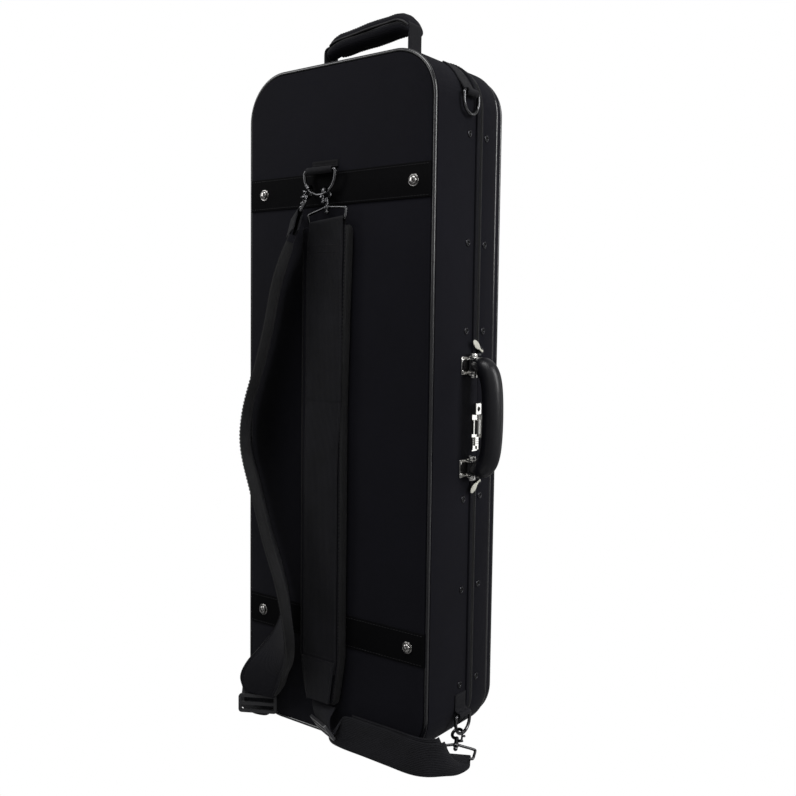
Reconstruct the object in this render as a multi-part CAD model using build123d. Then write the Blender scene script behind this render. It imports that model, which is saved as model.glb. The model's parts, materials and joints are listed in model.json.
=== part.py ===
"""Oblong viola case standing on its short end: shells, padding, lock, hinges, handles and straps.

Millimetres. +Z runs up the length of the case, the back face looks along -Y, the handle side along +X.
The origin is the centre of the bottom end that the case stands on.
"""
from build123d import *
import math
import os

os.makedirs("parts", exist_ok=True)

# Overall size of the case
CASE_LENGTH = 810.0
CASE_WIDTH = 285.0
BODY_DEPTH = 95.0
LID_DEPTH = 36.0
CORNER_RADIUS = 57.0
SEAM_Y = 29.5

# Shells and their trim
BODY_WALL = 6.0
LID_WALL = 5.0
PIPING_RADIUS = 2.25
PIPING_GAP = 0.15
LIP_THICKNESS = 2.5
LIP_REACH = 5.0
LIP_ROOT = 8.0
SEAM_GAP = 0.3
SOFT_GAP = 0.3

# Bands and studs on the back
BAND_WIDTH = 39.0
BAND_THICKNESS = 1.5
UPPER_BAND_DROP = 147.0
LOWER_BAND_Z = 136.0
STUD_RADIUS = 7.0
STUD_HEIGHT = 4.5
STUD_X = 115.0

# Rivet cups along both long sides
RIVET_RADIUS = 4.5
RIVET_HEIGHT = 1.2
RIVET_HOLE = 1.9
RIVET_STEPS = (78.0, 193.0, 301.0)
RIVET_STEPS_DOWN = (312.0, 211.0, 88.0)
BODY_RIVET_Y = 2.5
LID_RIVET_Y = 38.5

# Zip round the seam, with its cover flap
ZIP_INSET = 7.2
ZIP_EDGE_GAP = 0.3
ZIP_THICKNESS = 1.0
FLAP_INSET = 14.5
FLAP_WIDTH = 7.0
FLAP_THICKNESS = 2.4
ZIP_POST_GAP = 11.0
HINGE_SIDE_END = 100.0

# Zip sliders and pulls
SLIDER_LENGTH = 11.0
SLIDER_WIDTH = 6.2
SLIDER_HEIGHT = 3.4
SLIDER_GAP = 0.4
PULL_LENGTH = 24.0
PULL_WIDTH = 11.0
PULL_THICKNESS = 1.8
PULL_LEAN = 30.0
PULL_PIN_RADIUS = 0.9
PULL_PIN_GAP = 0.08
PULL_EYE_WIDTH = 3.0
PULL_EYE_RADIUS = 1.7
PULL_SIDE_GAP = 0.3
PULL_EAR = 0.9
SLIDER_TRAVEL = 240.0

# Carrying handle on the long side
HANDLE_CENTRE_Z = 398.0
HANDLE_POST_SPAN = 120.0
HANDLE_Y = 8.0
HANDLE_REACH = 27.0
GRIP_WIDTH = 25.0
GRIP_THICKNESS = 24.0
HANDLE_BEND = 18.0
GRIP_END_GAP = 1.2
GRIP_TAPER = 12.0
GRIP_END_WIDTH = 13.0
POST_PLATE_LENGTH = 21.0
POST_PLATE_WIDTH = 25.0
POST_PLATE_OFFSET = -3.0
POST_PLATE_CORNER = 3.0
POST_PLATE_THICKNESS = 1.6
EAR_HEIGHT = 12.0
EAR_WIDTH = 13.0
EAR_THICKNESS = 2.4
EAR_GAP = 15.0
HANDLE_PIN_RADIUS = 2.2
HANDLE_PIN_GAP = 0.08
HANDLE_EYE_RADIUS = 5.2
HANDLE_EYE_GAP = 0.5

# Lock on the seam, between the handle posts
LOCK_CENTRE_Z = 385.0
LOCK_LENGTH = 57.0
LOCK_BODY_WIDTH = 12.0
LOCK_LID_WIDTH = 9.0
LOCK_EDGE_GAP = 0.3
LOCK_CORNER = 1.5
LOCK_PLATE_THICKNESS = 1.4
LOCK_HOUSING_LENGTH = 14.0
LOCK_HOUSING_HEIGHT = 5.0
KEY_RADIUS = 3.4
KEY_GAP = 0.08
KEY_SLOT = 0.9
HASP_LENGTH = 17.0
HASP_PLATE_LENGTH = 27.0
HASP_SIDE_GAP = 0.4
HASP_KNUCKLE_RADIUS = 2.2
HASP_PIN_OFFSET = 5.5
HASP_POCKET_DEPTH = 4.0
STAPLE_DEPTH = 3.5
STAPLE_WALL = 0.9
HASP_WINDOW = 8.0
HASP_THICKNESS = 1.8
HASP_RISE = 3.2
HASP_PIN_RADIUS = 1.1
HASP_PIN_GAP = 0.08
RELEASE_LENGTH = 10.0
RELEASE_WIDTH = 6.4
RELEASE_HEIGHT = 3.0
RELEASE_TRAVEL = 5.0
RELEASE_GAP = 0.3
BOLT_WIDTH = 2.0
BOLT_THICKNESS = 1.6
BOLT_PLAY = 0.3
BOLT_STEM = 2.0
BOLT_HOLD = 4.5

# Hinges on the hidden long side
HINGE_LENGTH = 60.0
HINGE_END = 130.0
HINGE_LEAF = 1.6
HINGE_LEAF_WIDTH = 18.0
HINGE_KNUCKLE_RADIUS = 3.6
HINGE_PIN_RADIUS = 1.6
HINGE_PIN_GAP = 0.06
HINGE_KNUCKLES = 5
HINGE_KNUCKLE_GAP = 0.4

# D-rings and the webbing tabs that hold them
RING_WIRE = 2.0
BACK_RING_WIDTH = 48.0
BACK_RING_X = -15.0
BACK_RING_DROP = 126.0
BACK_RING_OFF = 9.0
BACK_RING_DEPTH = 28.5
SIDE_RING_WIDTH = 30.0
SIDE_RING_OFF = 5.0
SIDE_RING_DEPTH = 24.0
TAB_PATCH = 26.0
UPPER_RING_DROP = 44.0
UPPER_RING_Y = -3.0
LOWER_RING_Z = 44.0
LOWER_RING_Y = 3.0
TAB_WALL = 1.8
TAB_CLEARANCE = 0.4

# Snap hooks
HOOK_WIRE = 1.9
HOOK_EYE = 6.5
HOOK_SHANK = 15.0
HOOK_OPENING = 75.0
HOOK_RING_GAP = 0.6
HOOK_LOOP_GAP = 0.35
SWIVEL_RADIUS = 3.4
LOOP_WIRE = 1.6
LOOP_BOTTOM = 58.0
LOOP_HEIGHT = 19.0
LOWER_LOOP_WIDTH = 46.0
LOWER_HOOK_ANGLE = 45.0
TRIGGER_RADIUS = 1.3
TRIGGER_KNOB = 1.4
TRIGGER_KNOB_REACH = 4.0
TRIGGER_TRAVEL = 3.4
TRIGGER_GUIDE = 2.3
TRIGGER_PLAY = 0.1

# Shoulder straps
PAD_WIDTH = 72.0
PAD_LOW_WIDTH = 66.0
PAD_LEFT_X = -40.5
PAD_THICKNESS = 12.3
PAD_CROWN = 2.0
CROWN_REACH = 1.0
PAD_END_WIDTH = 46.0
PAD_CORNER = 8.0
PAD_TOP_DROP = 198.0
PAD_NARROW_Z = 412.0
PAD_TAPER_Z = 104.0
PAD_LOW_Z = 44.0
WEBBING_WIDTH = 38.0
WEBBING_THICKNESS = 2.0
PANEL_WIDTH = 50.0
ADJUSTER_WIDTH = 50.0
ADJUSTER_LENGTH = 24.0
ADJUSTER_BAR = 4.0
STRAP_GAP = 0.4
LEFT_PAD_TOP_DROP = 204.0
LEFT_PAD_END_Z = 33.8

# The left pad's route: place across the back, distance from the back, share of its height, turn and width
LEFT_PAD_ROUTE = ((-39.0, 32.5, 1.0, 44, 0.8), (-51.4, 34.5, 0.945, 45.8, 0.95), (-62.9, 35.0, 0.893, 45.8, 1.0),
                  (-74.2, 35.0, 0.814, 45.8, 1.0), (-88.8, 35.0, 0.736, 45.8, 1.0), (-106.1, 35.0, 0.657, 45.8, 1.0),
                  (-112.6, 35.0, 0.608, 45.8, 1.0), (-113.6, 35.0, 0.57, 45.8, 1.0), (-109.0, 35.0, 0.53, 45.8, 1.0),
                  (-96.9, 35.0, 0.475, 45.8, 1.0), (-75.2, 35.0, 0.368, 45.8, 1.0), (-55.5, 35.0, 0.289, 45.8, 1.0),
                  (-43.5, 34.5, 0.21, 45.0, 1.0), (-48.0, 33.0, 0.155, 35.0, 1.0), (-66.0, 28.0, 0.105, 18.0, 1.0),
                  (-86.0, 24.0, 0.065, 5.0, 1.0), (-97.0, 22.0, 0.03, -3.0, 0.95), (-101.0, 21.0, 0.0, -10.0, 0.66))

# The webbing's stations: distance from the middle or from the side, from the back and from the floor, and turn
RIGHT_TURN = (((-4.0, 9.0, 41.0), (1, 0, 0)), ((0.0, 17.5, 32.0), (0.93, -0.3, 0.05)),
              ((9.0, 22.5, 22.0), (0.88, -0.46, 0.1)), ((13.0, 15.5, 13.0), (0.8, -0.6, 0.3)),
              ((22.0, 16.5, 17.5), (0.5, -0.05, 0.85)), ((36.0, 18.0, 19.9), (0.1, 0.2, 0.97)),
              ((70.0, 17.5, 19.6), (0, 0.25, 0.97)), ((105.0, 18.5, 19.6), (0, 0.25, 0.97)))
FRONT_CORNER = (((-6.0, 19.5, 19.6), (0, 0.2, 0.98)), ((12.5, 14.5, 19.6), (0, 0.1, 0.99)),
                ((24.5, 2.5, 19.4), (-0.1, 0, 0.99)), ((27.5, -9.5, 17.2), (-0.5, 0, 0.86)),
                ((25.5, -19.5, 11.0), (-0.85, -0.25, 0.35)))
REAR_RUN = (((40.0, 9.7, 19.6), (0, 0.15, 0.98)), ((70.0, 10.5, 19.6), (0, 0.2, 0.98)),
            ((98.0, 10.5, 19.6), (0, 0.2, 0.98)))
REAR_CORNER = (((-14.0, 10.5, 19.6), (0, 0.15, 0.98)), ((4.5, 6.5, 19.6), (-0.05, 0.1, 0.99)),
               ((14.5, -3.5, 19.4), (-0.15, 0, 0.98)), ((17.5, -13.5, 18.6), (-0.45, -0.1, 0.87)),
               ((20.5, -21.5, 14.5), (-0.84, -0.4, 0.35)))
LEFT_TURN = (((-105.0, 18.5, 33.0), (0.87, 0.5, 0)), ((-106.0, 19.5, 20.0), (0.87, 0.5, 0)),
             ((-111.0, 17.5, 14.0), (0.8, 0.3, -0.5)), ((-120.0, 15.0, 18.6), (0.4, 0, -0.92)))
RIGHT_ADJUSTER = ((9.0, 22.5, 22.0), (0.88, -0.46, 0.1), (-0.32, -0.73, -0.54))
LEFT_ADJUSTER = ((-106.0, 19.5, 20.0), (0.87, 0.5, 0), (0.5, -0.87, 0))

# Padded handle on the top end
TOP_HANDLE_SPAN = 130.0
TOP_WRAP_X = 2.0
TOP_HANDLE_TILT = 12.0
TOP_HANDLE_BEND = 7.0
TOP_ANCHOR_LENGTH = 30.0
TOP_ANCHOR_THICKNESS = 2.0
TOP_WRAP_WIDTH = 36.0
TOP_WRAP_THICKNESS = 6.0
LEAF_GAP = 1.5
TOP_HANDLE_Y = 0.0
TOP_HANDLE_RISE = 42.0
TOP_WRAP_LENGTH = 110.0
TOP_WRAP_RADIUS = 12.5
TOP_WEBBING_WIDTH = 25.0
TOP_WEBBING_THICKNESS = 2.5

# Music pocket on the lid
POCKET_DEPTH = 14.0
POCKET_INSET = 3.0
POCKET_CROWN = 3.0
POCKET_CORNER = 12.0
POCKET_SLIDER_X = -60.0

# Inside of the case
LINING_THICKNESS = 5.0
CUSHION_TOP_Y = 18.0
LOWER_BOUT_RADIUS = 127.0
LOWER_BOUT_Z = 152.0
UPPER_BOUT_RADIUS = 104.0
UPPER_BOUT_Z = 350.0
CUSHION_TOP_Z = 470.0
SUSPENSION_THICKNESS = 9.0
SUSPENSION_LENGTH = 60.0
LOWER_PAD_Z = 120.0
LOWER_PAD_WIDTH = 170.0
UPPER_PAD_Z = 400.0
UPPER_PAD_WIDTH = 120.0
CUSHION_SPLIT = 20.0
CUSHION_ROUND = 3.0
NECK_BLOCK_Z = 500.0
NECK_BLOCK_LENGTH = 60.0
NECK_CHANNEL = 56.0
NECK_FLOOR_Y = -25.0
BOX_WALL = 4.0
BOX_TOP_Y = 18.0
BOX_FLOOR = 4.0
CENTRE_CHANNEL = 82.0

# Inside of the lid
LID_PAD_THICKNESS = 6.0
BOW_X = 62.0
BOW_LEVER_Z = 110.0
BOW_LEVER_LENGTH = 62.0
BOW_LEVER_WIDTH = 15.0
BOW_LEVER_THICKNESS = 4.0
BOW_POST_RADIUS = 5.0
BOW_PIVOT_RADIUS = 2.5
BOW_PIVOT_GAP = 0.08
BOW_BASE_HEIGHT = 9.0
BOW_LEVER_GAP = 0.3
BOW_HEAD_THICKNESS = 1.5
TIP_HOLDER_LENGTH = 46.0
TIP_HOLDER_WIDTH = 34.0
TIP_HOLDER_DEPTH = 17.0
TIP_SLOT = 18.0
TIP_WALL = 3.0
TIP_HOLDER_DROP = 62.0
STAY_X = -75.0
STAY_WIDTH = 15.0
STAY_THICKNESS = 1.0

# Places that follow from the sizes above
HALF_WIDTH = CASE_WIDTH / 2
BACK_Y = SEAM_Y - BODY_DEPTH
UPPER_BAND_Z = CASE_LENGTH - UPPER_BAND_DROP
BACK_RING_Z = CASE_LENGTH - BACK_RING_DROP
UPPER_RING_Z = CASE_LENGTH - UPPER_RING_DROP
PAD_TOP_Z = CASE_LENGTH - PAD_TOP_DROP
LEFT_PAD_TOP_Z = CASE_LENGTH - LEFT_PAD_TOP_DROP
TIP_HOLDER_Z = CASE_LENGTH - TIP_HOLDER_DROP
RIVET_HEIGHTS_Z = RIVET_STEPS + tuple(CASE_LENGTH - step for step in RIVET_STEPS_DOWN)
HINGE_HEIGHTS_Z = (HINGE_END, CASE_LENGTH / 2, CASE_LENGTH - HINGE_END)
ZIP_START_GAP = HANDLE_POST_SPAN / 2 + ZIP_POST_GAP
LID_FRONT_Y = SEAM_Y + LID_DEPTH
FLOOR_Y = BACK_Y + BODY_WALL
LINING_Y = FLOOR_Y + LINING_THICKNESS
BAND_Y = BACK_Y - BAND_THICKNESS
PAD_BACK_Y = BAND_Y - STRAP_GAP
BACK_RING_Y = BAND_Y - BACK_RING_OFF
SIDE_RING_X = HALF_WIDTH + SIDE_RING_OFF
PIPING_STEP = 2 * PIPING_RADIUS + PIPING_GAP
LID_INSIDE_Y = LID_FRONT_Y - LID_WALL
LID_PAD_Y = LID_INSIDE_Y - LID_PAD_THICKNESS
ZIP_OUT = HALF_WIDTH + ZIP_THICKNESS
HANDLE_PIN_X = HALF_WIDTH + POST_PLATE_THICKNESS + EAR_HEIGHT - EAR_WIDTH / 2
HINGE_X = -(HALF_WIDTH + HINGE_KNUCKLE_RADIUS + SEAM_GAP)
HANDLE_POST_Z = (HANDLE_CENTRE_Z - HANDLE_POST_SPAN / 2, HANDLE_CENTRE_Z + HANDLE_POST_SPAN / 2)
SLIDER_Y = SEAM_Y - (ZIP_INSET + ZIP_EDGE_GAP) / 2
SLIDER_PARK = ZIP_START_GAP + SLIDER_LENGTH / 2 + SLIDER_GAP
LOCK_HIGH_Y = SEAM_Y - LOCK_EDGE_GAP
LOCK_LOW_Y = LOCK_HIGH_Y - LOCK_BODY_WIDTH
LOCK_MIDDLE_Y = (LOCK_LOW_Y + LOCK_HIGH_Y) / 2
KEY_Z = LOCK_CENTRE_Z + LOCK_LENGTH / 2 - LOCK_HOUSING_LENGTH / 2
HASP_X = HALF_WIDTH + LOCK_PLATE_THICKNESS + HASP_KNUCKLE_RADIUS
HASP_Y = SEAM_Y + HASP_PIN_OFFSET
HASP_WINDOW_LOW_Y = LOCK_MIDDLE_Y - HASP_WINDOW / 2 - HASP_SIDE_GAP
HASP_WINDOW_HIGH_Y = HASP_WINDOW_LOW_Y + HASP_WINDOW
STAPLE_Y = (HASP_WINDOW_LOW_Y + HASP_WINDOW_HIGH_Y) / 2
STAPLE_LOW_Z = LOCK_CENTRE_Z - HASP_LENGTH / 6
RELEASE_HIGH_Z = LOCK_CENTRE_Z - LOCK_LENGTH / 2 + LOCK_CORNER + RELEASE_TRAVEL + RELEASE_LENGTH
STEM_LOW_Z = RELEASE_HIGH_Z - BOLT_STEM - LOCK_CORNER
BOLT_TOP_X = HALF_WIDTH - BOLT_PLAY - STAPLE_WALL / 2


def slab(half_width, z_low, z_high, corner, y_low, y_high):
    """A rounded rectangle across the case, between two depths."""
    outline = Plane.XZ * RectangleRounded(2 * half_width, z_high - z_low, corner)
    return Pos(0, y_low, (z_low + z_high) / 2) * extrude(outline, amount=y_high - y_low, dir=(0, 1, 0))


def inset_slab(inset, y_low, y_high):
    """The outline of the case drawn in by an inset, between two depths."""
    return slab(HALF_WIDTH - inset, inset, CASE_LENGTH - inset, CORNER_RADIUS - inset, y_low, y_high)


def block(x_low, x_high, y_low, y_high, z_low, z_high):
    """A plain block between six planes."""
    size = Box(x_high - x_low, y_high - y_low, z_high - z_low)
    return Pos((x_low + x_high) / 2, (y_low + y_high) / 2, (z_low + z_high) / 2) * size


def rod(start, end, radius):
    """A round rod from one point to another."""
    start = Vector(*start)
    end = Vector(*end)
    step = end - start
    return extrude(Plane(origin=start, z_dir=step) * Circle(radius), amount=step.length)


def bent_wire(points, corner, radius):
    """A closed loop of round wire through the given points."""
    path = FilletPolyline(*points, radius=corner, close=True)
    start = Plane(origin=path @ 0, z_dir=path % 0)
    return sweep(start * Circle(radius), path=path)


def strip_sides(corners, middle, lift, crown):
    """The four sides of a strap's section between its corners; both faces swell by the crown."""
    if crown == 0:
        front = Line(corners[0], corners[1])
        back = Line(corners[2], corners[3])
    else:
        front = ThreePointArc(corners[0], middle + lift, corners[1])
        back = ThreePointArc(corners[2], middle - lift, corners[3])
    return (front, Line(corners[1], corners[2]), back, Line(corners[3], corners[0]))


def crowned_strip(width, thickness, crown):
    """The flat section of a padded strap."""
    across = Vector(width / 2, 0, 0)
    edge = Vector(0, thickness / 2 - crown, 0)
    corners = (edge - across, edge + across, across - edge, -across - edge)
    return make_face(Wire(strip_sides(corners, Vector(0, 0, 0), Vector(0, thickness / 2, 0), crown)))


def halfway(points, index):
    """The point halfway along a smooth curve from one point of a row to the next."""
    last = len(points) - 1
    before = points[max(index - 1, 0)]
    after = points[min(index + 2, last)]
    return (points[index] + points[index + 1]) * 9 / 16 - (before + after) / 16


def smooth_row(points):
    """A row of points with a halfway point put in after each but the last."""
    row = []
    for index in range(len(points) - 1):
        row += [points[index], halfway(points, index)]
    return row + [points[-1]]


def strip_normal(row, across, index):
    """The normal of a strap at one place of a row of points that runs along it."""
    last = len(row) - 1
    return across.cross(row[min(index + 1, last)] - row[max(index - 1, 0)]).normalized()


def ribbon(stations, thickness, crown=0):
    """A strap through stations of centre, width direction and width, with its own normal at each edge."""
    reaches = [Vector(*across).normalized() * (width / 2) for place, across, width in stations]
    lefts = smooth_row([Vector(*station[0]) - reach for station, reach in zip(stations, reaches)])
    rights = smooth_row([Vector(*station[0]) + reach for station, reach in zip(stations, reaches)])
    middles = [(left + right) / 2 for left, right in zip(lefts, rights)]
    last = len(middles) - 1
    sections = []
    for index, middle in enumerate(middles):
        across = (rights[index] - lefts[index]).normalized()
        normals = [strip_normal(row, across, index) for row in (lefts, middles, rights)]
        if index in (0, last):
            normals = [normals[1]] * 3
        left_edge = normals[0] * (thickness / 2 - crown)
        right_edge = normals[2] * (thickness / 2 - crown)
        corners = (lefts[index] + left_edge, rights[index] + right_edge,
                   rights[index] - right_edge, lefts[index] - left_edge)
        sections.append(strip_sides(corners, middle, normals[1] * (thickness / 2), crown))
    faces = [Face(Wire(sections[0])), Face(Wire(sections[last]))]
    for side in range(len(sections[0])):
        skin = Shell.make_loft([Wire([section[side]]) for section in sections], ruled=True)
        faces += skin.faces()
    return Solid(Shell(faces))


def save(name, shape):
    """Write one named piece."""
    export_step(shape, "parts/" + name + ".step")


def seam_slab(out, y_low, y_high):
    """The outline near the seam, raised at the bottom end so that the zip and flap stay above the floor."""
    sunk = ZIP_THICKNESS + FLAP_THICKNESS
    return slab(HALF_WIDTH + out, sunk - out, CASE_LENGTH + out, CORNER_RADIUS + out, y_low, y_high)


def body_shell():
    """The deep tray, stepped for the back piping, with the lip that locates the lid."""
    groove_y = SEAM_Y - FLAP_INSET
    shell = inset_slab(PIPING_STEP, BACK_Y, BACK_Y + PIPING_STEP)
    shell += inset_slab(0, BACK_Y + PIPING_STEP, groove_y)
    shell += seam_slab(0, groove_y, SEAM_Y)
    shell -= inset_slab(BODY_WALL, FLOOR_Y, SEAM_Y)
    lip = inset_slab(BODY_WALL, SEAM_Y - LIP_ROOT, SEAM_Y + LIP_REACH)
    lip -= inset_slab(BODY_WALL + LIP_THICKNESS, SEAM_Y - LIP_ROOT, SEAM_Y + LIP_REACH)
    pocket = block(HALF_WIDTH - HASP_POCKET_DEPTH, HALF_WIDTH, HASP_WINDOW_LOW_Y, HASP_WINDOW_HIGH_Y,
                   STEM_LOW_Z - RELEASE_TRAVEL - BOLT_PLAY, LOCK_CENTRE_Z + HASP_LENGTH / 2)
    return shell + lip - pocket


def piping(y_centre):
    """A closed round of piping that lies in the stepped edge of a shell."""
    half = HALF_WIDTH - PIPING_RADIUS
    low = PIPING_RADIUS
    high = CASE_LENGTH - PIPING_RADIUS
    corners = ((-half, y_centre, low), (half, y_centre, low), (half, y_centre, high), (-half, y_centre, high))
    return bent_wire(corners, CORNER_RADIUS - PIPING_RADIUS, PIPING_RADIUS)


def back_bands():
    """Two webbing bands sewn across the back, from piping to piping."""
    half = HALF_WIDTH - PIPING_STEP
    bands = []
    for centre_z in (UPPER_BAND_Z, LOWER_BAND_Z):
        low = centre_z - BAND_WIDTH / 2
        bands.append(block(-half, half, BAND_Y, BACK_Y, low, low + BAND_WIDTH))
    return Compound(children=bands)


def stud():
    """One domed stud, standing out along +Z with its foot at the origin."""
    ball_radius = (STUD_RADIUS ** 2 + STUD_HEIGHT ** 2) / (2 * STUD_HEIGHT)
    ball = Pos(0, 0, STUD_HEIGHT - ball_radius) * Sphere(ball_radius)
    return ball & (Pos(0, 0, STUD_HEIGHT / 2) * Box(2 * STUD_RADIUS, 2 * STUD_RADIUS, STUD_HEIGHT))


def back_studs():
    """Four studs on the bands that the case can stand or lie on."""
    studs = []
    for x in (-STUD_X, STUD_X):
        for z in (LOWER_BAND_Z, UPPER_BAND_Z):
            studs.append(Plane(origin=(x, BAND_Y, z), x_dir=(1, 0, 0), z_dir=(0, -1, 0)) * stud())
    return Compound(children=studs)


def rivets(y):
    """Cup rivets along both long sides at one depth."""
    cup = Cylinder(RIVET_RADIUS, RIVET_HEIGHT) - Cylinder(RIVET_HOLE, RIVET_HEIGHT)
    cups = []
    for side in (-1, 1):
        for z in RIVET_HEIGHTS_Z:
            place = Plane(origin=(side * (HALF_WIDTH + RIVET_HEIGHT / 2), y, z), z_dir=(side, 0, 0))
            cups.append(place * cup)
    return Compound(children=cups)


def zip_zone():
    """The stretches of the seam that the zip leaves free: the handle, the lock and the hinge side."""
    high = 2 * HALF_WIDTH
    handle = block(0, high, BACK_Y, LID_FRONT_Y, HANDLE_CENTRE_Z - ZIP_START_GAP, HANDLE_CENTRE_Z + ZIP_START_GAP)
    hinge = block(-high, 0, BACK_Y, LID_FRONT_Y, HINGE_SIDE_END, CASE_LENGTH - HINGE_SIDE_END)
    return handle + hinge


def zip_chain():
    """The zip's teeth and tape on the body's edge, an upper and a lower run."""
    y_low = SEAM_Y - ZIP_INSET
    y_high = SEAM_Y - ZIP_EDGE_GAP
    return seam_slab(ZIP_THICKNESS, y_low, y_high) - seam_slab(0, y_low, y_high) - zip_zone()


def zip_flaps():
    """The bound flap beside the zip, an upper and a lower run."""
    y_low = SEAM_Y - FLAP_INSET
    y_high = y_low + FLAP_WIDTH
    return seam_slab(FLAP_THICKNESS, y_low, y_high) - seam_slab(0, y_low, y_high) - zip_zone()


def slider_pivot(z):
    """The point that a pull turns about, over the slider parked at one height."""
    return Vector(ZIP_OUT + SLIDER_GAP + SLIDER_HEIGHT + SLIDER_GAP + PULL_EYE_RADIUS, SLIDER_Y, z)


def pull_plane(z, up):
    """The plane of a parked pull: X along the pull, Z away from the case."""
    lean = math.radians(PULL_LEAN)
    along = (0, -math.cos(lean), up * math.sin(lean))
    return Plane(origin=slider_pivot(z), x_dir=along, z_dir=(1, 0, 0))


def zip_slider(z, up):
    """The slider on the zip, with the two ears and the pin of its pull."""
    foot = ZIP_OUT + SLIDER_GAP
    body = block(foot, foot + SLIDER_HEIGHT, SLIDER_Y - SLIDER_WIDTH / 2, SLIDER_Y + SLIDER_WIDTH / 2,
                 z - SLIDER_LENGTH / 2, z + SLIDER_LENGTH / 2)
    body = fillet(body.edges().filter_by(Axis.X), SLIDER_WIDTH / 4)
    ear_y = PULL_EYE_WIDTH / 2 + PULL_SIDE_GAP + PULL_EAR / 2
    ears = Cylinder(PULL_PIN_RADIUS, 2 * ear_y + PULL_EAR, rotation=(90, 0, 0))
    ear_top = PULL_PIN_RADIUS + SLIDER_GAP
    ear_foot = -(PULL_EYE_RADIUS + SLIDER_GAP + SLIDER_HEIGHT / 2)
    for side in (-1, 1):
        ear = Box(2 * PULL_EYE_RADIUS, PULL_EAR, ear_top - ear_foot)
        ears += Pos(0, side * ear_y, (ear_top + ear_foot) / 2) * ear
    return body + pull_plane(z, up) * ears


def zip_pull(z, up):
    """The pale lozenge that the slider is drawn by."""
    eye = Cylinder(PULL_EYE_RADIUS, PULL_EYE_WIDTH, rotation=(90, 0, 0))
    neck = Pos(PULL_LENGTH / 6, 0, 0) * Box(PULL_LENGTH / 3, PULL_EYE_WIDTH, PULL_THICKNESS)
    leaf_length = PULL_LENGTH * 3 / 4
    leaf = extrude(Ellipse(leaf_length / 2, PULL_WIDTH / 2), amount=PULL_THICKNESS / 2, both=True)
    pull = eye + neck + Pos(PULL_LENGTH - leaf_length / 2, 0, 0) * leaf
    pull -= Cylinder(PULL_PIN_RADIUS + PULL_PIN_GAP, PULL_WIDTH, rotation=(90, 0, 0))
    return pull_plane(z, up) * pull


def handle_posts():
    """Two riveted plates, each with a pair of ears and the pin that the handle turns on."""
    posts = []
    for z in HANDLE_POST_Z:
        y_middle = HANDLE_Y + POST_PLATE_OFFSET
        plate = block(HALF_WIDTH, HALF_WIDTH + POST_PLATE_THICKNESS, y_middle - POST_PLATE_WIDTH / 2,
                      y_middle + POST_PLATE_WIDTH / 2, z - POST_PLATE_LENGTH / 2, z + POST_PLATE_LENGTH / 2)
        plate = fillet(plate.edges().filter_by(Axis.X), POST_PLATE_CORNER)
        for side in (-1, 1):
            low = z + side * EAR_GAP / 2
            ear = block(HALF_WIDTH, HANDLE_PIN_X + EAR_WIDTH / 2, HANDLE_Y - EAR_WIDTH / 2,
                        HANDLE_Y + EAR_WIDTH / 2, min(low, low + side * EAR_THICKNESS),
                        max(low, low + side * EAR_THICKNESS))
            outer = ear.edges().filter_by(Axis.Z).sort_by(Axis.X)[-2:]
            plate += fillet(outer, EAR_WIDTH / 3)
        reach = EAR_GAP / 2 + EAR_THICKNESS
        plate += rod((HANDLE_PIN_X, HANDLE_Y, z - reach), (HANDLE_PIN_X, HANDLE_Y, z + reach), HANDLE_PIN_RADIUS)
        posts.append(plate)
    return Compound(children=posts)


def carry_handle():
    """The leather grip, bent like a C, with an eye at each end round its pin."""
    start_x = HANDLE_PIN_X + EAR_WIDTH / 2 + GRIP_END_GAP
    grip_x = HANDLE_PIN_X + HANDLE_REACH
    low, high = HANDLE_POST_Z
    path = FilletPolyline((start_x, HANDLE_Y, low), (grip_x, HANDLE_Y, low), (grip_x, HANDLE_Y, high),
                          (start_x, HANDLE_Y, high), radius=HANDLE_BEND)
    section = Plane(origin=path @ 0, x_dir=(0, 1, 0), z_dir=path % 0)
    grip = sweep(section * Ellipse(GRIP_THICKNESS / 2, GRIP_WIDTH / 2), path=path)
    taper_x = start_x + GRIP_TAPER
    outer_x = grip_x + GRIP_WIDTH
    half_end = GRIP_END_WIDTH / 2
    outline = Polyline((start_x, -half_end), (taper_x, -GRIP_THICKNESS / 2), (outer_x, -GRIP_THICKNESS / 2),
                       (outer_x, GRIP_THICKNESS / 2), (taper_x, GRIP_THICKNESS / 2), (start_x, half_end), close=True)
    grip &= Pos(0, HANDLE_Y, low - GRIP_WIDTH) * extrude(make_face(outline), amount=high - low + 2 * GRIP_WIDTH)
    for z in HANDLE_POST_Z:
        half = EAR_GAP / 2 - HANDLE_EYE_GAP
        eye = rod((HANDLE_PIN_X, HANDLE_Y, z - half), (HANDLE_PIN_X, HANDLE_Y, z + half), HANDLE_EYE_RADIUS)
        neck = block(HANDLE_PIN_X, start_x + GRIP_END_GAP, HANDLE_Y - HANDLE_EYE_RADIUS, HANDLE_Y + HANDLE_EYE_RADIUS,
                     z - half, z + half)
        bore = rod((HANDLE_PIN_X, HANDLE_Y, z - half), (HANDLE_PIN_X, HANDLE_Y, z + half),
                   HANDLE_PIN_RADIUS + HANDLE_PIN_GAP)
        grip += eye + neck - bore
    return grip


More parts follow.
